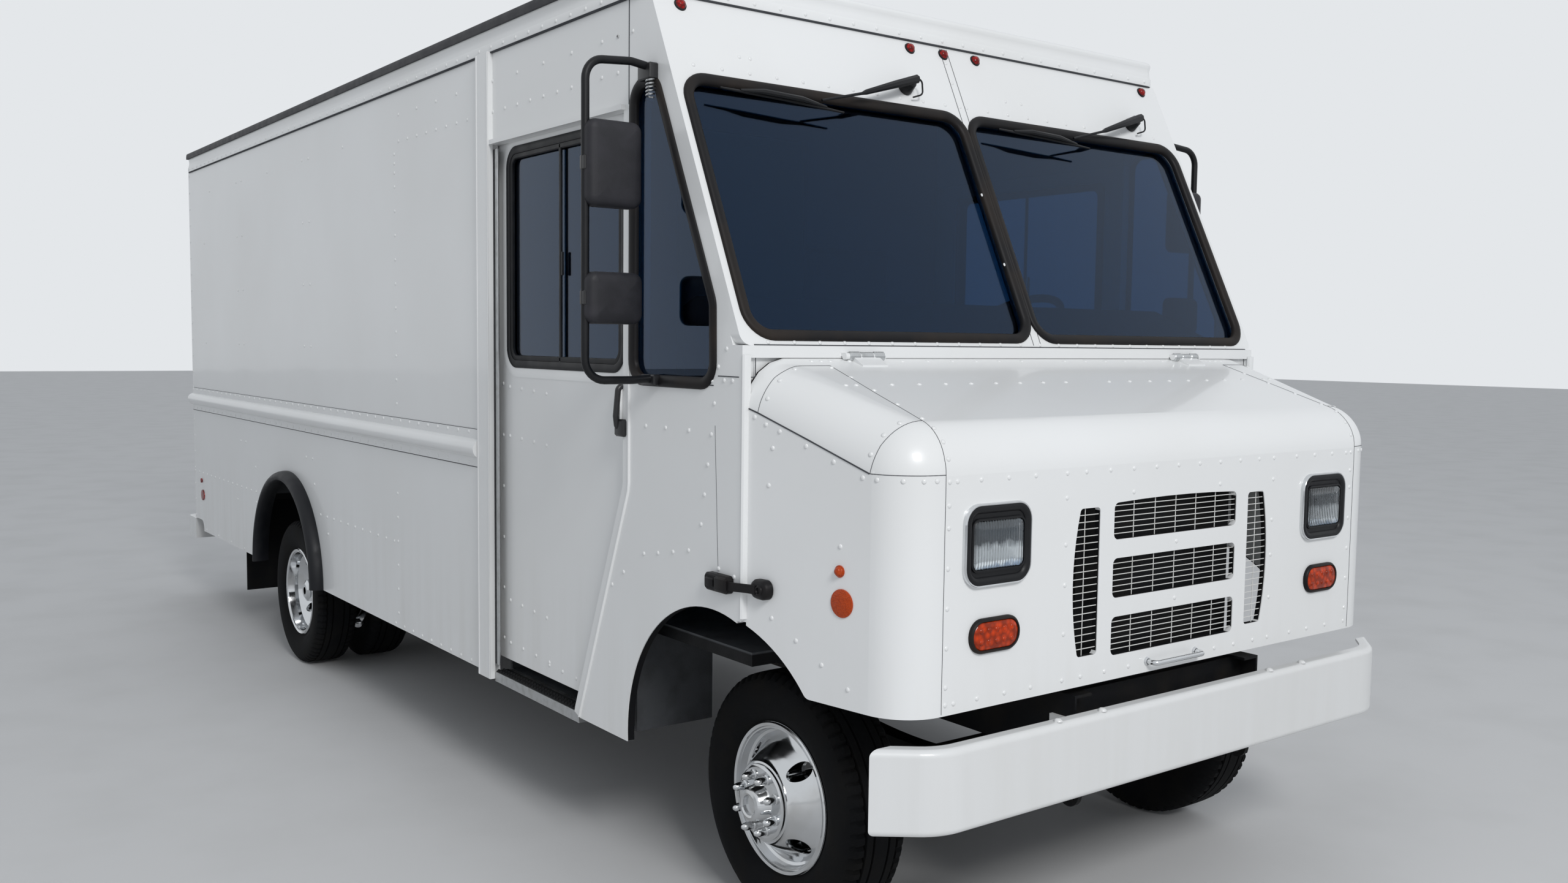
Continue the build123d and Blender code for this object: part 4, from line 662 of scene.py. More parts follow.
roof_skin = [
    # outward, up from the flange: the underside from the middle out, then the edge, then the top
    (None, 90), (-140, 86), (-60, 80), (-28, 68), (-25, 0), (0, 0), (0, 32), (-3, 44), (-4.5, 56), (-3, 68),
    (0, 78), (-1, 84), (-5, 90), (-13, 94), (-38, 98), (-120, 106), (-260, 111.5), (None, 113),
]
around_roof("roof_sheet", roof_out, roof_skin, white_enamel, loop=False, hides=("roof",))
around_roof("roof_flange", roof_out, [(-2, 0), (2.5, 0), (3, 2), (3, 26), (1.5, 29), (-2, 29)], white_enamel)
around_roof("roof_sealant", 0, [(-2, -5), (6, -5), (9, -3), (9, 0), (-2, 0)], seam_shadow)
rail_section = [(-10, 0), (3, 0), (4, 3), (4, 12), (1, 16), (1, 28), (-1, 33), (-5, 34), (-8, 30), (-10, 16)]
rail_run = row((wall - roof_out, -2190, 2846), (wall - roof_out, body_end_y - 30, 2846), 400)
pair("roof_drip_rails", [strip(rail_run, rail_section, (0, 0, 1))], moulded_grey)

# %% [markdown]
# ## Window rubbers
# Each pane sits in an H-section rubber that laps the sheet outside by about 20 mm and the glass by 15 mm. Its
# section is a soft hump. Stacking the opening's outline at insets and heights that run round that section
# gives the whole ring at once, with the corners rounded by the outline itself.

# %% Gaskets
rubber_section = [(-20, 0), (-19, 5), (-14, 9), (-4, 10), (5, 8), (12, 5), (15, 0), (15, -10), (4, -12),
                  (0, -6)]
pane_foot, pane_height = 34, 824
pane_top = pane_foot + pane_height
pane = rect(1110, pane_height, 573, pane_foot + pane_height / 2)
screen = stack(pane, 75, rubber_section, screen_o, screen_u, screen_v, loop=True, steps=10)
pair("windscreen_rubbers", [screen], window_rubber)

quarter_foot, quarter_knee, quarter_head = 1618, 1841, 2500
knee_y, head_y = screen_lean(quarter_knee, 82), screen_lean(quarter_head, 82)
quarter_pane = [(4 - knee_y, quarter_foot), (-knee_y, quarter_knee), (-head_y, quarter_head),
                (2325, quarter_head), (2325, quarter_foot)]
quarter = stack(quarter_pane, 60, rubber_section, (wall, 0, 0), *side_plane, loop=True, steps=8)
pair("quarter_window_rubbers", [quarter], window_rubber)

# %% [markdown]
# ## Sliding cab doors
# The door's window is a black frame with two sashes, one of which slides, so a mullion stands between them.
# A pull handle hangs at the front edge. The doors slide, so each side's pieces ride on their own door.

# %% Door windows
door_window = [(2237, 1620), (2237, 2431), (1356, 2431), (1356, 1620)]
surround_section = [(-24, 0), (-24, 1.2), (12, 1.2), (14, 0), (14, -9), (3, -9)]
frame_section = [(10, 0), (10, 2.5), (13, 4), (22, 4.3), (31, 4), (37, 2.5), (38, -9), (12, -9)]
sash_section = [(38, -8), (38, 1), (41, 2), (52, 2), (55, -1), (55, -9)]
surround, frame_ring, sash = (
    stack(door_window, 85, section, (door_face, 0, 0), *side_plane, loop=True, steps=10)
    for section in (surround_section, frame_section, sash_section)
)
mullion = block((door_face - 2, -1790, 1630), (door_face + 7, -1776, 2395), 3)
catch = block((door_face - 4, -1806, 1950), (door_face + 3, -1796, 2030), 2)


def on_both_doors(name, parts, finish):
    """The same parts on the right door and, mirrored, on the left: one piece for each door."""
    for word, chosen in (("right", parts), ("left", mirrored(parts)[len(parts):])):
        piece(f"{name}_{word}", chosen, finish, f"door_{word}")


on_both_doors("door_window_frame", [frame_ring, sash, mullion, catch], moulded_black)
on_both_doors("door_window_surround", [surround], white_enamel)

# %% Door rivets, edge channel and folded edges
door_rows = [
    ((-1330, 1570), (-1330, 620), 2 * pitch),
    ((-1385, 1560), (-1680, 1545), 98),
    ((-1385, 1380), (-1680, 1365), 98),
    ((-1385, 770), (-1680, 755), 98),
    ((-1385, 610), (-1700, 600), 98),
    ((-1700, 590), (-1900, 585), 98),
]
for word, sign in (("right", 1), ("left", -1)):
    dots = side_rows(door_face, door_rows) * [sign, 1, 1]
    piece(f"door_rivets_{word}", [scatter(rivet, dots, (-sign, 0, 0))], white_enamel, f"door_{word}",
          recalc=False)

# %% [markdown]
# Between the door and the rear post runs a brush seal in a thin riveted aluminium channel, which keeps rain
# and dust out of the pocket. The bristles are finer than a pixel, so the brush is a dark strip with a rough
# speckle. The cab side's own rear edge is folded and riveted, and bends at the knee of the door.

# %% Seals and folded edges
seal = [block((wall + 1, -1330, 520), (wall + 16, -1312, 2420), 2)]
pair("door_brush_seals", seal, bristle)
channel = [block((wall - 1, -1352, 520), (wall + 5, -1331, 2420), 1.5)]
pair("door_seal_channels", channel, mill_aluminium)
edge_path = [(wall, y, z) for y, z in
             ((-2307, 2436), (-2307, 1296), (-2303, 1268), (-1992, 500), (-1985, 478))]
edge_strip = strip(edge_path, [(-2, 0), (-2, 5), (0, 7), (3, 7), (5, 4), (38, 3), (40, 0)], out)
pair("cab_side_edges", [edge_strip], white_enamel)
post_edges = [block((wall - 22, y, 463), (wall - 18, y + 8, 2766), 1.5) for y in (-1312, -1217)]
header_seam = [block((wall - 1.2, -2298, 2450), (wall + 1, -2294, 2764), 0.4)]
pair("door_post_edges", post_edges, white_enamel)
pair("header_seams", header_seam, seam_shadow)

# %% [markdown]
# ## The hood's form
# The nose tapers in plan, falls towards the front, and has every upper edge rolled to one radius. Such a form
# is a smaller solid with flat faces, grown by that radius all round. So a rough point finds its place on the
# skin through its nearest point on the smaller solid: the skin lies one radius from there, and the direction
# between the two is the way it faces. Rivets and seams are placed like this from short lists of points.

# %% Points on the hood
hood_faces = np.array([unit([-1, -hood_taper, 0]), unit([0, -hood_slope, 1]), [0.0, -1.0, 0.0]])
on_each_face = [[-hood_nose_x, nose_y, 0], [0, nose_y, hood_nose_z], [0, nose_y, 0]]
hood_reach = (hood_faces * on_each_face).sum(1) - hood_roll


def on_hood(points):
    """Places on the right half of the skin and their normals: core + radius * unit(point - core)."""
    points = np.asarray(points, float)
    core = points.copy()
    found = np.zeros(len(points), bool)
    for active in ([0], [1], [2], [0, 1], [0, 2], [1, 2], [0, 1, 2]):
        faces = hood_faces[active]
        push = np.linalg.solve(faces @ faces.T, (points @ faces.T - hood_reach[active]).T).T
        nearest = points - push @ faces
        fits = (push > 0).all(1) & (nearest @ hood_faces.T < hood_reach + 1e-6).all(1) & ~found
        core[fits] = nearest[fits]
        found |= fits
    normals = unit(points - core)
    return core + hood_roll * normals, normals


def side_half(y):
    """How far the hood's side lies from the middle at a place along it."""
    return hood_nose_x + hood_taper * (y - nose_y)


print("hood corner", on_hood([(-1044, -3429, 1500)])[0].round(1))

# %% [markdown]
# ## Hood seams
# The nose is made of flat sheets joined to rolled corner pieces, and the joints show as fine dark lines. A
# line painted in a texture would need a UV map on a CAD node, so each seam is a thin dark bead laid on the
# skin along the real joint.

# %% Seam lines on the nose
seam_lines = [
    # bead radius, points that it runs through
    (2.2, [(-1156, -2922, 1554), (-1150, -2956, 1544), (-1119, -3136, 1483), (-1084, -3346, 1410)]),
    (1.0, [(-1084, -3346, 1410), (-1072, -3388, 1410), (-1044, -3429, 1410), (-1000, -3459, 1410),
           (-938, -3470, 1410)]),
    (0.9, [(-1150, -2956, 1543), (-1144, -2960, 1574), (-1128, -2964, 1608), (-1102, -2965, 1639),
           (-1070, -2970, 1658), (-1031, -2968, 1670), (-911, -2968, 1671)]),
    (0.9, [(-1084, -3348, 1410), (-1079, -3354, 1441), (-1061, -3360, 1480), (-1024, -3369, 1516),
           (-967, -3373, 1538), (-930, -3370, 1540)]),
    (0.9, [(-911, -2968, 1671), (-916, -3065, 1640), (-923, -3177, 1603), (-926, -3279, 1570),
           (-930, -3370, 1540), (-934, -3429, 1505), (-938, -3462, 1452), (-938, -3470, 1406)]),
    (0.9, [(-938, -3470, 1406), (-938, -3470, 800)]),
]
seams = []
for bead, points in seam_lines:
    legs = [row(a, b, 14)[:-1] for a, b in zip(points, points[1:])]
    path, facing = on_hood(np.concatenate(legs + [np.array(points[-1:], float)]))
    seams.append(tube(path, bead, facing, 6))
pair("hood_seams", seams, seam_shadow, "hood")

# %% Hood rivets
side_dots = [
    # y, z
    (-2945, 1532), (-2987, 1514), (-3038, 1498), (-3133, 1465), (-3228, 1431), (-3325, 1398), (-3013, 1452),
    (-3000, 1351), (-3255, 1215), (-3016, 992), (-3106, 945), (-3197, 896), (-3287, 848),
]
roll_dots = [
    (-1079, -3370, 1396), (-1044, -3429, 1396), (-1001, -3458, 1396), (-966, -3468, 1396),
    (-1135, -2980, 1584), (-1099, -2985, 1632), (-1045, -2981, 1663),
    (-1077, -3342, 1458), (-1044, -3352, 1506), (-996, -3358, 1535),
    (-924, -3407, 1524), (-924, -3442, 1491), (-925, -3463, 1449),
]
top_dots = [
    # x, y
    (-919, -2983), (-910, -3058), (-910, -3156), (-916, -3257), (-918, -3355), (-976, -3117), (-940, -3117),
    (-949, -2932), (-915, -2932), (-882, -2932),
]
top_dots += [(x, y) for y in (-3117, -2932) for x in np.arange(-812, -90, pitch)]
dots = [(-side_half(y), y, z) for y, z in side_dots] + roll_dots
dots += [(x, y, hood_nose_z + hood_slope * (y - nose_y)) for x, y in top_dots]
pair("hood_rivets", [scatter(rivet, *on_hood(dots))], white_enamel, "hood", recalc=False)
front_dots = {
    # height: the x of each rivet
    1392: (-925, -898, -814, -713, -611, -487, -409, -308, -207, -105, -4, 97, 198, 299, 398, 476, 601, 704,
           805, 889, 918),
    1332: (-925, 918), 1325: (-486, -205, 200, 476), 1275: (-925, 918), 1197: (-486, 476), 1172: (-925, 918),
    1168: (-3,), 1086: (-486, 476), 1070: (-925, 918), 1000: (-3,), 969: (-925, 918), 951: (-486, 476),
    868: (-925, 918),
    823: (-925, -896, -812, -711, -611, -487, -411, -310, -205, 200, 298, 398, 476, 598, 697, 804, 915),
}
front_places = [(x, nose_y, z) for z, places in front_dots.items() for x in places]
piece("hood_rivets_front", [scatter(rivet, front_places, (0, -1, 0))], white_enamel, "hood", recalc=False)

# %% [markdown]
# ## Arch edges and the gap behind the nose
# The cut edges of the panels inside the wheel arches are black from 3 mm in: painted shade for the dark
# inside of the arches. A dark rubber weatherstrip fills the gap between the nose and the cab. The rear arches
# have a
# moulded rubber flare: a section that stands out 60 mm and rolls back inwards, carried round the arch.


# %% Painted shade on the arch edges, flares and weatherstrip
def on_arch(section, centre, radius, first, last, half=None):
    """A section carried along an arc, in degrees from the rear (0) over the top (90), on the side's sheet."""
    turn = np.radians(np.linspace(first, last, 60))
    y, z = centre[0] + radius * np.cos(turn), centre[1] + radius * np.sin(turn)
    x = -half(y) if half else np.full(60, wall)
    inward = np.stack([np.zeros(60), -np.cos(turn), -np.sin(turn)], 1)
    return [strip(np.stack([x, y, z], 1), section, inward)]


def shade_band_section(depth):
    """The band of painted shade on a panel's cut edge: 3.4 mm wide and this deep."""
    return [(-3, 0.4), (-depth, 0.4), (-depth, -3), (-3, -3)]


# Black on the cut edges of the arches from 3 mm in: painted shade for the dark inside of the arch.
cab_arch_shade = on_arch(shade_band_section(26), front_arch, front_arch_radius, 106, -4.1)
hood_arch_shade = on_arch(shade_band_section(19), front_arch, front_arch_radius + 4, 138, 109.2, side_half)
pair("cab_arch_painted_shade", cab_arch_shade, chassis_black)
pair("hood_arch_painted_shade", hood_arch_shade, chassis_black, "hood")
flare_section = [
    # outward, towards the middle of the arch
    (-1, -22), (12, -23), (28, -21), (44, -15), (55, -5), (60, 7), (59, 17), (54, 23), (40, 26), (10, 26),
    (-10, 15), (-27, 8), (-27, -3), (-1, -3),
]
pair("rear_flares", on_arch(flare_section, rear_arch, rear_arch_radius, 180.6, -0.6), flare_rubber,
     hides=("wheel_flares",), sharp=60)
gap_y = cab_y - 12
gap_places = [(-side_half(gap_y), gap_y, z) for z in np.arange(965, 1561, 35)]
gap_places += [(-1128, gap_y, 1608), (-1102, gap_y, 1639), (-1070, gap_y, 1662), (-1031, gap_y, 1678)]
gap_places += [(x, gap_y, 1687) for x in np.arange(-990, 1, 90)]
gap_skin, gap_normal = on_hood(gap_places)
lip_skin, lip_normal = on_hood([(x, cab_y - 17, z) for x, y, z in gap_places])
hood_lip = strip(lip_skin, [(8.5, -0.2), (-8, -0.2), (-9, -1.2), (-8, -2.4), (8.5, -2.4)], lip_normal)
pair("hood_rear_lip", [hood_lip], white_enamel, "hood")
weatherstrip = strip(gap_skin, [(2, -3.5), (-11, -3.5), (-11, -14), (2, -14)], gap_normal)
pair("nose_weatherstrip", [weatherstrip], window_rubber)

# %% [markdown]
# ## Windscreen frame and cowl
# A rivet row runs along the sill and the header, and two fine folds between the panes mark the strip that
# joins the two halves of the front. The cowl below is a separate sheet: its joints are dark lines.

# %% Front rivets and strips
slope_length = (flange_z - sill_z) / math.cos(rake)
sill_row = [on_screen(x, 10) for x in np.arange(-1080, 1081, 91)]
head_row = [on_screen(x, pane_top + 46) for x in np.arange(-1085, 1086, pitch)]
extra = [on_screen(x, s) for x, s in ((-905, 960), (-865, 960), (245, 960), (325, 960), (0, 905), (0, 1000),
                                      (0, 1080), (-30, 60), (-30, 300), (-30, 560))]
rivets("rivets_front", [(np.array(sill_row + head_row + extra), screen_n)], both=False)
fold_ends = [(on_screen(x, 8, 0.2), on_screen(x + 8, slope_length - 12, 0.2)) for x in (-17, 17)]
centre_folds = [tube(row(foot, head, 80), 1.1, (1, 0, 0), 6) for foot, head in fold_ends]
cowl_y = cab_y - 13.5
cowl_paths = [
    # bead radius, points of a joint
    (2.2, [(-1130, cowl_y, 1727), (1130, cowl_y, 1727)]),
    (1.4, [(-1125, cowl_y, 1724), (-1125, cowl_y, 1640)]),
    (1.4, [(-1127, cowl_y, 1639), (-1158, cowl_y, 1639)]),
    (1.6, [(wall, -2895, 1639), (wall, -2793, 1639)]),
    (1.8, [(wall, -2771, 1612), (wall, -2558, 1615)]),
    (0.8, [(wall, -2780, 1500), (wall, -2800, 1105)]),
]
cowl_lines = [tube(row(a, b, 60), bead, (0, 1, 1), 6) for bead, (a, b) in cowl_paths]
piece("front_joint_lines", centre_folds + mirrored(cowl_lines), seam_shadow)
corner_cover = [strip(row((wall + 12, cab_y - 17, 975), (wall + 12, cab_y - 17, 1700), 60),
                      [(-14, 0), (-16, 4), (-12, 9), (0, 11), (10, 8), (14, 0)], (0, -1, 0))]
pair("cab_corner_beads", corner_cover, white_enamel)

# %% [markdown]
# ## Lamps
# The headlamps are rectangular sealed beams: a thin chromed rim, a deep black moulded bezel, and inside it a
# smaller rectangle of fluted glass over a bowl whose colour is a painted reflection, a bright band on a
# darker ground. Two rounded rectangles with the same number of points make the bezel: the last ring of the
# large one joins the first ring of the small one. The amber lamps below are ovals in a rubber grommet with
# ten small optics behind the lens.

# %% Headlamps
head_o = (-754, nose_y, 1223)
head_box, glass_box = rect(244, 216), rect(187, 129)


def head_rings(box, radius, levels):
    """The rings of one headlamp outline at insets and heights off the nose."""
    return stack(box, radius, levels, head_o, *front_plane, steps=9)[0]


rim = head_rings(head_box, 52, [(0, 0), (-0.5, 6), (0.5, 11), (2.5, 13), (5, 12.5), (6, 9)])
bezel = np.concatenate([
    head_rings(head_box, 52, [(5, 8), (6, 13), (12, 14.5), (19, 13), (25, 8), (26, 6)]),
    head_rings(glass_box, 20, [(-6, 6), (-5, 11), (-2, 11), (-1, 5)]),
])
inner_rim = head_rings(glass_box, 20, [(-2, 5), (-2, 11.5), (-0.5, 12.5), (1, 12), (2, 6)])
pair("headlamp_rims", [(rim, False, True)], chrome_trim, "hood", hides=("headlamps",))
pair("headlamp_bezels", [(bezel, False, True), (inner_rim, False, True)], moulded_black, "hood")
lens = head_rings(glass_box, 20, [(2, 5.5), (3, 10), (7, 12.5), (24, 14.5), (None, 15.5)])
lens_back = head_rings(glass_box, 20, [(2, 5.5), (12, 8), (30, 9.5), (None, 10)])
pair("headlamp_lenses", [(lens, False, True), (lens_back, False, True)], clear_lens, "hood")
bowl = head_rings(glass_box, 20, [(1, 5.2), (6, 4), (16, 2.6), (32, 1.6), (50, 0.9), (None, 0.6)])
pair("headlamp_bowls", [(bowl, False, True)], lamp_bowl, "hood", sharp=80)

# %% Amber lamps, side markers and reflectors
oval_o = (-757, nose_y, 986)
oval = rect(178, 88)
grommet = stack(oval, 42, [(-2, 0), (-2, 7), (2, 12), (5, 13), (7, 11), (8, 4)], oval_o, *front_plane,
                steps=9)
pair("indicator_grommets", [grommet], window_rubber, "hood", hides=("indicator_lamps",))
oval_lens = [stack(oval, 42, [(8, 4), (8, 9), (11, 12), (22, 13.5), (None, 14)], oval_o, *front_plane,
                   steps=9)]
optic_places = [np.add(oval_o, (dx, -12.5, dz)) for dz in (-15, 15) for dx in (-56, -28, 0, 28, 56)]
oval_lens.append(scatter(dome(8.5, 4), optic_places, (0, -1, 0)))
pair("indicator_lenses", oval_lens, amber_lens, "hood")
marker_profile = [(0, 16), (3, 16), (4, 13), (9, 12), (14, 8), (16, 0)]
reflector_profile = [(0, 37), (3, 37), (4.5, 34), (4.8, 0)]
side_normal = hood_faces[0]
pair("hood_side_markers", [
    lathe(marker_profile, (-side_half(-3255), -3255, 1151), side_normal, 24),
    lathe(reflector_profile, (-side_half(-3264), -3264, 1069), side_normal, 48),
], amber_reflector, "hood")
header_places = [on_screen(x, slope_length - 36) for x in (-1075, -155, 0, 155, 1075)]
lamp_base = [(0, 21), (4, 20), (5, 16)]
lamp_dome = [(3, 17), (8, 16), (14, 11), (17, 0)]
piece("header_lamp_bases", [lathe(lamp_base, p, screen_n, 24) for p in header_places], moulded_black)
piece("header_lamp_lenses", [lathe(lamp_dome, p, screen_n, 24) for p in header_places], red_lens,
      hides=("header_lamps",))

# %% [markdown]
# ## Grille
# Behind each opening of the nose lies a grid of white coated wire, welded where the wires cross. Round wires
# catch the light as fine bright lines, so they are real tubes, all in one mesh. A thin black sleeve lines
# each
# opening from 2.5 mm behind the face: painted shade for the dark inside of the nose.

# %% Grille wires and painted shade sleeves
openings = [
    # right x, left x, foot z, head z, bow of the head, of the right side and of the left side, rows, columns
    (-286, 286, 1194, 1298, 7, 0, 0, 6, 5),
    (-286, 286, 1028, 1141, 0, 0, 0, 6, 5),
    (-286, 286, 864, 974, 0, 0, 0, 6, 5),
    (-427, -346, 878, 1291, 0, -26, 0, 20, 1),
    (346, 427, 878, 1291, 0, 0, 26, 20, 1),
]
wire_y, wire_radius, wire_overlap = nose_y + 7, 1.25, 8


def arc_between(start, end, bow, count=13):
    """Points from start to end on a shallow arc: the line plus bow * (1 - s ** 2), s from -1 to 1."""
    share = np.linspace(0, 1, count)[:, None]
    return start + share * np.subtract(end, start) + (1 - (2 * share - 1) ** 2) * np.asarray(bow)


wires, painted_shade_sleeves = [], []
for x0, x1, z0, z1, head_bow, right_bow, left_bow, rows, columns in openings:
    low, high = np.array([(x0 + right_bow, z0), (x1 + left_bow, z1 + head_bow)])
    for z in np.linspace(low[1], high[1], rows + 2)[1:-1]:
        ends = [(x, wire_y, z) for x in (low[0] - wire_overlap, high[0] + wire_overlap)]
        wires.append(tube(row(*ends, 200), wire_radius, (0, 0, 1), 6))
    for x in np.linspace(low[0], high[0], columns + 2)[1:-1]:
        ends = [(x, wire_y + 2.3, z) for z in (low[1] - wire_overlap, high[1] + wire_overlap)]
        wires.append(tube(row(*ends, 200), wire_radius, (0, 1, 0), 6))
    edge = np.concatenate([
        arc_between((x0 + 3, z0 + 0.4), (x1 - 3, z0 + 0.4), (0, 0)),
        arc_between((x1 - 0.4, z0 + 3), (x1 - 0.4, z1 - 3), (left_bow, 0)),
        arc_between((x1 - 3, z1 - 0.4), (x0 + 3, z1 - 0.4), (0, head_bow)),
        arc_between((x0 + 0.4, z1 - 3), (x0 + 0.4, z0 + 3), (right_bow, 0)),
    ])
    middle = edge.mean(0)
    # The black sleeve inside each opening is painted shade for the dark inside of the nose.
    rings = [np.insert(middle + (edge - middle) * grown, 1, nose_y + depth, axis=1)
             for grown, depth in ((1.0, 2.5), (1.0, 18.4), (1.012, 18.4), (1.012, 2.5))]
    painted_shade_sleeves.append((np.array(rings), True, True))
piece("grille_wires", wires, wire_enamel, "hood", hides=("grille_bars",))
piece("grille_painted_shade", painted_shade_sleeves, chassis_black, "hood")

# %% [markdown]
# ## Wheels
# A chromed cover is clipped over each steel wheel. At the front it bulges out to a flat face with eight
# bullet-shaped nut covers. At the rear the outer wheel of the pair is deeply dished. A cover is a turned
# profile, and its four hand holes are cut by a boolean, because a painted dot would have no depth.

# %% Turned covers with hand holes
front_profile = [
    (70, 210), (80, 227), (86, 228), (90, 224), (88, 215), (72, 206), (60, 202), (56, 194), (60, 186),
    (75, 172), (100, 150), (120, 135), (128, 127), (134, 121), (140, 119), (142, 113), (148, 112),
    (150, 106), (152, 104), (152, 60), (158, 56), (185, 52), (193, 46), (196, 36), (193, 30), (183, 28),
    (181, 0),
]
front_back = [
    (177, 0), (178, 24), (180, 46), (152, 52), (148, 58), (148, 102), (144, 108), (136, 112), (130, 117),
    (116, 131), (96, 146), (71, 168), (55, 183), (50, 196), (56, 205), (62, 208), (70, 210),
]
rear_profile = [
    (66, 206), (80, 227), (86, 228), (90, 224), (86, 214), (60, 207), (10, 203), (-24, 196), (-38, 180),
    (-44, 160), (-42, 138), (-36, 124), (-30, 118), (-28, 106), (-28, 66), (-14, 62), (34, 58), (50, 50),
    (58, 38), (60, 20), (60, 0),
]
rear_back = [
    (56, 0), (55, 20), (30, 54), (-18, 58), (-32, 64), (-33, 104), (-40, 122), (-47, 138), (-49, 160),
    (-42, 184), (-28, 200), (10, 205.5), (60, 209), (66, 206),
]
hole_radius, hole_circle = 27, 158


def drill(made, centre, sign):
    """Cuts the four hand holes through a cover with a boolean, then keeps the cut mesh."""
    pin = [(-150, 0), (-150, hole_radius), (150, hole_radius), (150, 0)]
    places = [np.add(centre, (0, hole_circle * math.cos(t), hole_circle * math.sin(t)))
              for t in np.radians([45, 135, 225, 315])]
    cutter = piece("drill", [lathe(pin, place, (sign, 0, 0), 32) for place in places], chrome_cover)
    cut = made.modifiers.new("holes", "BOOLEAN")
    cut.object = cutter
    cut.solver = "EXACT"
    bpy.context.view_layer.update()
    ready = bpy.data.meshes.new_from_object(made.evaluated_get(bpy.context.evaluated_depsgraph_get()))
    made.modifiers.remove(cut)
    made.data = ready
    ready.set_sharp_from_angle(angle=math.radians(35))
    bpy.data.objects.remove(cutter)


nut_profile = [(0, 15), (6, 16), (8, 13), (26, 12.5), (38, 10), (44, 5), (46, 0)]
nut_circle = 82.5
nut_angles = np.radians(22.5 + 45 * np.arange(8))
for word, sign in (("right", -1), ("left", 1)):
    for end, body, y, track, profile, back, nut_from in (
        ("front", f"front_wheel_{word}", front_axle_y, front_track, front_profile, front_back, 150),
        ("rear", f"rear_wheels_{word}", rear_axle_y, rear_outer_track, rear_profile, rear_back, -31),
    ):
        centre = (sign * track, y, axle_z)
        turned = lathe(profile + back, centre, (sign, 0, 0), 96)
        cover = piece(f"{end}_wheel_cover_{word}", [turned], chrome_cover, body, sharp=35)
        drill(cover, centre, sign)
        nut_places = [np.add(centre, (sign * nut_from, nut_circle * math.cos(t), nut_circle * math.sin(t)))
                      for t in nut_angles]
        nuts = [lathe(nut_profile, p, (sign, 0, 0), 16) for p in nut_places]
        piece(f"{end}_nut_covers_{word}", nuts, chrome_cover, body)

# %% [markdown]
# ### Tyres
# A commercial tyre has five ribs parted by four grooves, and short slots that step round the shoulders. The
# section is a profile turned about the axle. The tread is cut by lowering the radius of the grid where its
# two parameters, across and round, fall in a groove.


# %% Treaded tyres
def tyre(centre, sign, slots_round=64, slot_depth=9.0):
    """A grid of section by turn: the radius drops in four grooves and in slots round the shoulders."""
    across = np.array([-75, -78, -84, -96, -102, -105, -106, -104, -100, -92, -86, -80,
                       -62, -61, -55, -54, -32, -31, -25, -24, 0])
    radius = np.array([218, 228, 236, 256, 280, 305, 322, 340, 354, 366, 371, 375,
                       376, 364, 364, 376.5, 377, 364, 364, 377, 377])
    lining_x, lining_radius = [60, 60, -60, -60], [220, 360, 360, 220]
    across = np.concatenate([across, -across[-2::-1], lining_x])[:, None]
    radius = np.concatenate([radius, radius[-2::-1], lining_radius])[:, None]
    turn = np.linspace(0, 2 * math.pi, slots_round * 4, endpoint=False)
    in_slot = np.arange(len(turn)) % 4 == 0
    on_shoulder = (np.abs(across) >= 61) & (radius > 360)
    grown = radius - np.where(on_shoulder & in_slot, slot_depth, 0)
    grid = np.stack([sign * across + 0 * grown, grown * np.cos(turn), grown * np.sin(turn)], -1)
    return grid + centre, True, True


for word, sign in (("right", -1), ("left", 1)):
    piece(f"front_tyre_tread_{word}", [tyre((sign * front_track, front_axle_y, axle_z), sign)], tyre_rubber,
          f"front_wheel_{word}", hides=(f"front_tyre_{word}",), sharp=30)
    twins = [tyre((sign * x, rear_axle_y, axle_z), sign) for x in (rear_outer_track, rear_inner_track)]
    piece(f"rear_tyre_treads_{word}", twins, tyre_rubber, f"rear_wheels_{word}",
          hides=(f"rear_tyres_{word}",), sharp=30)

# %% [markdown]
# ## Mirrors
# A bent black tube stands off the pillar and carries two heads, moulded shells with soft domed backs, held by
# saddle clamps. The tube is one path with arcs at its bends, and each head is a stack that swells.

# %% Mirror tubes and heads
mirror_y = -2455
loop_path = bent([(-1165, mirror_y + 20, 2536), (-1250, mirror_y + 12, 2545), (-1405, mirror_y, 2530),
                  (-1405, mirror_y, 1618), (-1250, mirror_y - 6, 1618), (-1165, mirror_y - 10, 1624)], 62, 9)
tube_parts = [tube(loop_path, 12.0, (0.0, 1.0, 0.0), 14)]
pair("mirror_tubes", tube_parts, moulded_black, hides=("mirrors",))
shell = [(12, -8), (4, -8), (0, -4), (0, 20), (2, 29), (7, 36), (15, 40), (30, 42.5), (60, 43.5), (None, 44)]
glass = [(6, -6.5), (None, -6.5)]
heads, glasses, clamps = [], [], []
for z0, z1, x0, x1 in ((2115, 2363, -1413, -1236), (1781, 1931, -1413, -1232)):
    outline_box = rect(x1 - x0, z1 - z0, (x0 + x1) / 2, (z0 + z1) / 2)
    heads.append(stack(outline_box, 30, shell, (0, mirror_y, 0), *front_plane, steps=9))
    glasses.append(stack(outline_box, 30, glass, (0, mirror_y, 0), *front_plane, steps=9))
    middle = (z0 + z1) / 2
    clamps.append(block((-1416.5, mirror_y - 20, middle - 22), (-1390, mirror_y + 14, middle + 22), 4))
pair("mirror_heads", heads, moulded_grey)
pair("mirror_glasses", glasses, chrome_trim)
brackets = [
    block((-1200, mirror_y - 10, 2500), (-1168, mirror_y + 60, 2548), 4),
    block((-1196, mirror_y - 34, 1600), (-1168, mirror_y + 44, 1634), 4),
]
turns = np.linspace(0, 10 * math.pi, 100)
coil_radius, rise_per_turn = 12, 10.4
coil = np.stack([-1190 + coil_radius * np.cos(turns), mirror_y + 2 + coil_radius * np.sin(turns),
                 2448 + rise_per_turn * turns / (2 * math.pi)], 1)
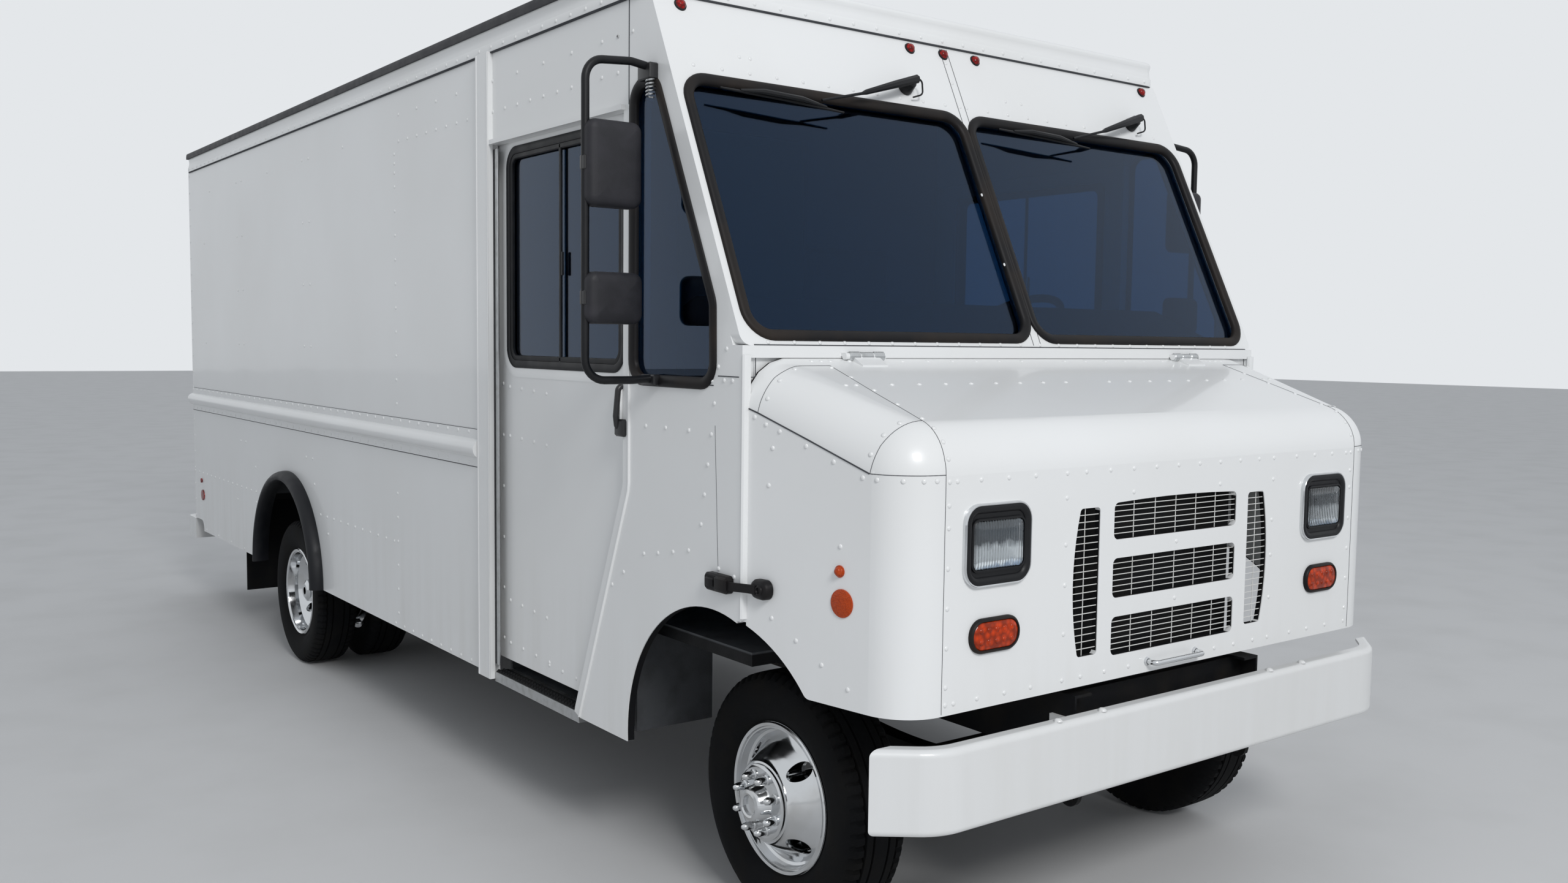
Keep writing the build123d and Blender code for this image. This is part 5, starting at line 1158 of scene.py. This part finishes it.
pair("mirror_springs", [tube(coil, 2.6, (0, 0, 1), 6)], bright_hinge)
pair("mirror_clamps", clamps + brackets, lacquered_lever)

# %% [markdown]
# ## Wipers
# Each wiper hangs from a motor above its pane and parks across the pane's top. The arm is a pressed channel
# that thins towards its hook, and the blade a rib on a row of small bridges.

# %% Wipers
wiper_bars = [
    # points (across from the motor, up from the pane's head, off the glass), the radius at each
    ([(20, 96, 46), (-90, 56, 52), (-230, 8, 50), (-250, 1, 48), (-420, -42, 40)],
     (15.3, 13.5, 9, 4.95, 4.05)),
    ([(-790, -40, 26), (-700, -45, 27), (-560, -52, 28), (-420, -60, 27), (-330, -66, 26)], (3, 5, 5, 5, 3)),
    ([(-720, -42, 30), (-640, -43, 40), (-500, -50, 41), (-400, -58, 30)], (4, 9, 9, 4)),
]
hose_bends = [(14, 108, 40), (46, 96, 44), (44, 50, 30), (10, 44, 16)]
motor_cap = [(0, 26), (6, 28), (22, 24), (40, 20), (46, 12), (48, 0)]
wiper_parts = []
for motor_x in (-240, 920):
    wiper_parts.append(lathe(motor_cap, on_screen(motor_x, pane_top + 87), screen_n, 24))
    for points, radii in wiper_bars:
        path = [on_screen(motor_x + x, pane_top + s, proud) for x, s, proud in points]
        wiper_parts.append(tube(path, np.array(radii), screen_n, 8))
    hose = bent([on_screen(motor_x + x, pane_top + s, proud) for x, s, proud in hose_bends], 16, 6)
    wiper_parts.append(tube(hose, 3.0, screen_n, 8))
piece("wiper_sets", wiper_parts, moulded_black, hides=("wipers",))

# %% [markdown]
# ## Nose fittings
# The hood lifts by a chromed grab handle at its foot, turns on two bright hinges at the cowl, and is held
# down on each side by a moulded rubber strap. The strap's rounded keeper rides with the hood.

# %% Handle, hinges and hold-downs
handle_y, handle_z = nose_y - 34, 827
handle_right, handle_left = -122, 103
handle_path = bent([(handle_right, nose_y - 2, handle_z), (handle_right, handle_y, handle_z),
                    (handle_left, handle_y, handle_z), (handle_left, nose_y - 2, handle_z)], 16, 6)
handle_feet = [lathe([(0, 13), (4, 12), (6, 9)], (x, nose_y, handle_z), (0, -1, 0), 20)
               for x in (handle_right, handle_left)]
piece("hood_grab_handle", [tube(handle_path, 7.5, (0, 0, 1), 14)] + handle_feet, chrome_trim, "hood",
      hides=("hood_handle",))
hinge_o = np.array([-745.0, cab_y - 30, 1697])
knuckles = [
    # from, to along the pin, radius
    (-66, -26, 14.0), (-24, 24, 12.5), (26, 66, 14.0),
]
turned_bars = [[(a, 0), (a, r - 3), (a + 3, r), (b - 3, r), (b, r - 3), (b, 0)] for a, b, r in knuckles]
hinge_shapes = [lathe(bar, hinge_o, (1, 0, 0), 20) for bar in turned_bars]
pair("hood_hinge_knuckles", [hinge_shapes[0], hinge_shapes[2]], bright_hinge)
pair("hood_hinge_barrels", [hinge_shapes[1]], bright_hinge, "hood")
latch_root = [
    stack(rect(118, 50), 14, [(None, 0), (0, 0), (0, 17), (5, 22), (None, 23)], (wall, -2819, 1062),
          *side_plane, steps=6),
    block((wall - 31, -2878, 1042), (wall - 18, -2822, 1083), 5),
    block((wall - 28, -2814, 1049), (wall - 18, -2772, 1075), 4),
    strip([(-1186, -2872, 1062), (-1182, -2900, 1063), (-1172, -2955, 1066), (-1168, -2985, 1067)],
          [(-12, 0), (-12, 7), (12, 7), (12, 0)], out),
]
pair("hood_latch_bodies", latch_root, window_rubber)
keeper_levels = [(None, 0), (0, 0), (0, 18), (4, 25), (12, 28), (None, 28.5)]
keeper = stack(rect(75, 54), 25, keeper_levels, (-1142, -2988, 1067), *side_plane, steps=8)
keeper_boss = lathe([(26, 15), (32, 13), (33, 9), (28, 7), (28, 0)], (-1142, -2998, 1067), out, 20)
pair("hood_latch_keepers", [keeper, keeper_boss], window_rubber, "hood")

# %% Bumper bolts
bolt_places = [(x, -3524, 734) for x in (-559, -379, 412, 589)]
disc_places = [(x, front_y + 0.5, z) for x, z in ((-732, 537), (-549, 537), (639, 676), (819, 674))]
discs = [lathe([(0, 7), (0.3, 7), (0.4, 0)], p, (0, -1, 0), 16) for p in disc_places]
piece("bumper_bolts", [scatter(dome(13, 9, 8), bolt_places, (0, 0, 1))], bumper_enamel, recalc=False)
piece("bumper_bolt_discs", discs, seam_shadow, slot="body_paint")

# %% [markdown]
# ## Door steps
# The sill under each doorway is an aluminium nosing. Its top carries a black ribbed tread whose teeth show
# along the edge.

# %% Step treads
tread_parts = [block((wall + 3, -1965, 489), (wall + 52, -1316, 494), 1.5)]
teeth = dome(6, 8, 8)
for x in (wall + 9, wall + 30):
    tread_parts.append(scatter(teeth, row((x, -1955, 492), (x, -1326, 492), 22), (0, 0, 1)))
pair("step_treads", tread_parts, flap_rubber, recalc=False)

# %% [markdown]
# ## Door handles
# A black pull lever hangs from a lock body at the door's front edge, one on each door.

# %% Pull levers
lever_parts = [
    tube(bent([(-1150, -2262, 1596), (-1186, -2262, 1590), (-1192, -2258, 1500), (-1184, -2252, 1462),
               (-1150, -2252, 1458)], 16, 6), 9.5, (0, 1, 0), 12),
    block((-1188, -2292, 1436), (-1139, -2238, 1490), 6),
    block((-1168, -2280, 1566), (-1139, -2240, 1612), 5),
]
on_both_doors("door_lever", lever_parts, lacquered_lever)

# %% [markdown]
# ## Inside the cab
# Behind the tinted glass stand a high-backed seat, a steering wheel and a dash. The seat's foam pads are
# cloth, blown up a little by simulation so that their faces crown and their edges round off.


# %% Seat pads
def pad(name, low, high, swell, cap):
    """A foam pad: a rounded block, remeshed, puffed up by cloth pressure, each move capped, then smoothed."""
    grid, wrap_u, wrap_v = block(np.array(low) + swell, np.array(high) - swell, 24)
    made = piece(name, [(grid, wrap_u, wrap_v)], seat_vinyl)
    remesh = made.modifiers.new("even", "REMESH")
    remesh.mode = "VOXEL"
    remesh.voxel_size = 0.009
    bpy.context.view_layer.update()
    even = bpy.data.meshes.new_from_object(made.evaluated_get(bpy.context.evaluated_depsgraph_get()))
    made.modifiers.clear()
    made.data = even
    before = np.empty(len(even.vertices) * 3, np.float32)
    even.vertices.foreach_get("co", before)
    cloth = made.modifiers.new("foam", "CLOTH")
    cloth.settings.use_pressure = True
    cloth.settings.uniform_pressure_force = 4.0
    cloth.settings.effector_weights.gravity = 0.0
    for tick in range(1, 21):
        bpy.context.scene.frame_set(tick)
    shaped = made.evaluated_get(bpy.context.evaluated_depsgraph_get()).to_mesh()
    after = np.empty_like(before)
    shaped.vertices.foreach_get("co", after)
    move = (after - before).reshape(-1, 3)
    length = np.linalg.norm(move, axis=1, keepdims=True)
    move *= np.minimum(1, cap * MM / np.maximum(length, 1e-9))
    made.modifiers.clear()
    even.vertices.foreach_set("co", (before.reshape(-1, 3) + move).ravel())
    bpy.context.scene.frame_set(1)
    even.polygons.foreach_set("use_smooth", np.ones(len(even.polygons), bool))
    even.update()
    return made


cushion = pad("seat_cushion", (240, -1870, 1332), (720, -1392, 1450), 12, 14)
backrest = pad("seat_backrest", (240, -1389, 1350), (720, -1280, 2165), 12, 14)
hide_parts("seat_pads")
print("seat pads", len(cushion.data.polygons), len(backrest.data.polygons))

# %% Steering wheel
hub = np.array([460.0, -2330.0, 1787.0])
hub_axis = unit([0, 0.55, 0.835])
ring_radius, rim_radius = 214, 15
ring_angle = np.linspace(0, 2 * math.pi, 48, endpoint=False)
ring_u = np.array([1.0, 0.0, 0.0])
ring_v = np.cross(hub_axis, ring_u)
rim_angle = np.linspace(0, 2 * math.pi, 12, endpoint=False)[:, None]
spoke_dir = (np.cos(ring_angle)[:, None] * ring_u + np.sin(ring_angle)[:, None] * ring_v)[:, None]
rim_circle = np.cos(rim_angle) * spoke_dir + np.sin(rim_angle) * hub_axis
wheel_parts = [
    (hub + ring_radius * spoke_dir + rim_radius * rim_circle, True, True),
    lathe([(-24, 0), (-24, 52), (10, 56), (20, 44), (24, 0)], hub, hub_axis, 32),
]
for sign in (-1, 1):
    spoke = row(hub + sign * 40 * ring_u, hub + sign * 205 * ring_u, 40)
    wheel_parts.append(tube(spoke, 10, hub_axis, 8))
wheel_parts.append(tube(row(hub - 20 * hub_axis, hub - 300 * hub_axis, 60), 27, (1, 0, 0), 20))
piece("steering_wheel_rim", wheel_parts, moulded_black, hides=("steering_wheel",))

# %% [markdown]
# ## Rear
# Hidden in the photograph, so it has what vans of this type have: a lock lever, a grab handle on each door,
# window rubbers, and a blank plate holder.

# %% Rear fittings
for word, sign in (("right", -1), ("left", 1)):
    window = rect(560, 480, -sign * 550, 1980)
    ring = stack(window, 40, rubber_section, (0, body_end_y, 0), *rear_plane, loop=True, steps=8)
    piece(f"rear_window_rubber_{word}", [ring], window_rubber, f"rear_door_{word}")
    grab = bent([(sign * 90, body_end_y + 1, 1620), (sign * 90, body_end_y + 44, 1620),
                 (sign * 90, body_end_y + 44, 1400), (sign * 90, body_end_y + 1, 1400)], 16, 6)
    edge_rows = [row((sign * 40, body_end_y, 880), (sign * 40, body_end_y, 2600), 2 * pitch),
                 row((sign * 1075, body_end_y, 950), (sign * 1075, body_end_y, 2560), 2 * pitch)]
    piece(f"rear_door_rivets_{word}", [scatter(rivet, np.concatenate(edge_rows), (0, 1, 0))], white_enamel,
          f"rear_door_{word}", recalc=False)
    piece(f"rear_grab_{word}", [tube(grab, 10, (1, 0, 0), 12)], lacquered_lever, f"rear_door_{word}")
lever_z = 1220
lever = [
    stack(rect(120, 60, 110, lever_z), 12, [(None, 0), (0, 0), (0, 8), (5, 12), (None, 12)],
          (0, body_end_y, 0), *rear_plane, steps=5),
    tube(row((-60, body_end_y + 26, lever_z), (-190, body_end_y + 26, lever_z - 8), 60), 9, (0, 0, 1), 10),
    lathe([(0, 14), (28, 14), (32, 8), (33, 0)], (-80, body_end_y + 5, lever_z), (0, 1, 0), 20),
]
piece("rear_lock_lever", lever, chrome_trim, "rear_door_right")
plate = stack(rect(310, 160, 620, 690), 8, [(None, 0), (0, 0), (0, 5), (3, 7), (None, 7)], (0, body_end_y, 0),
              *rear_plane, steps=5)
piece("plate_holder", [plate], blank_plate)

# %% [markdown]
# ## Camera, light and floor
# The camera was solved from the photograph's straight edges, so the render lines up with it. The van stands
# on a pale floor under an even sky, with one large soft lamp ahead of it, as the low sun was, so that the
# nose is bright and the long side is in soft shade.

# %% Camera
camera_data = bpy.data.cameras.new("camera")
camera = bpy.data.objects.new("camera", camera_data)
bpy.context.scene.collection.objects.link(camera)
yaw, pitch_angle, roll = (math.radians(a) for a in (36.799, -4.383, 0.698))
forward = np.array([math.sin(yaw) * math.cos(pitch_angle), math.cos(yaw) * math.cos(pitch_angle),
                    math.sin(pitch_angle)])
level = np.array([math.cos(yaw), -math.sin(yaw), 0.0])
above = np.cross(level, forward)
right = math.cos(roll) * level + math.sin(roll) * above
upright = -math.sin(roll) * level + math.cos(roll) * above
place = np.eye(4)
place[:3, 0], place[:3, 1], place[:3, 2] = right, upright, -forward
place[:3, 3] = (-3.222, -5.846, 1.740)
camera.matrix_world = Matrix(place.tolist())
camera_data.sensor_width = 36.0
camera_data.lens = 30.245
bpy.context.scene.camera = camera
print("camera at", place[:3, 3])

# %% World, lamp and floor
scene = bpy.context.scene
scene.view_settings.view_transform = "Standard"
world = bpy.data.worlds.new("pale_sky")
scene.world = world
world.use_nodes = True
sky = world.node_tree
sky.nodes.clear()
rays = add(sky, "LightPath")
seen = math_node(sky, "MAXIMUM", rays.outputs["Is Camera Ray"], rays.outputs["Is Glossy Ray"])
seen = math_node(sky, "MAXIMUM", seen, rays.outputs["Is Transmission Ray"])
ambient = add(sky, "Background", {"Color": linear("#E9EEF4"), "Strength": 0.55}).outputs[0]
backdrop = add(sky, "Background", {"Color": linear("#E4E7EA"), "Strength": 1.0}).outputs[0]
mixed_sky = add(sky, "MixShader", {0: seen, 1: ambient, 2: backdrop}).outputs[0]
add(sky, "OutputWorld", {"Surface": mixed_sky})


def lamp(name, place, target, size, watts):
    """A square area lamp at a place, turned to a target."""
    data = bpy.data.lights.new(name, "AREA")
    data.size = size
    data.energy = watts
    made = bpy.data.objects.new(name, data)
    scene.collection.objects.link(made)
    made.location = place
    made.rotation_euler = (Vector(target) - Vector(place)).to_track_quat("-Z", "Y").to_euler()
    return made


lamp("low_sun", (-3.5, -12.0, 8.0), (0, -1.5, 1.4), 3.0, 640)
floor_finish = speckled("pale_floor", "#DADADA", "#CFCFCE", 0.4, 0.75, scale=2.0)
floor_mesh = bpy.data.meshes.new("studio_floor")
floor_mesh.from_pydata([(-60, -60, 0), (60, -60, 0), (60, 60, 0), (-60, 60, 0)], [], [(0, 1, 2, 3)])
studio_floor = bpy.data.objects.new("studio_floor", floor_mesh)
scene.collection.objects.link(studio_floor)
floor_mesh.materials.append(floor_finish)
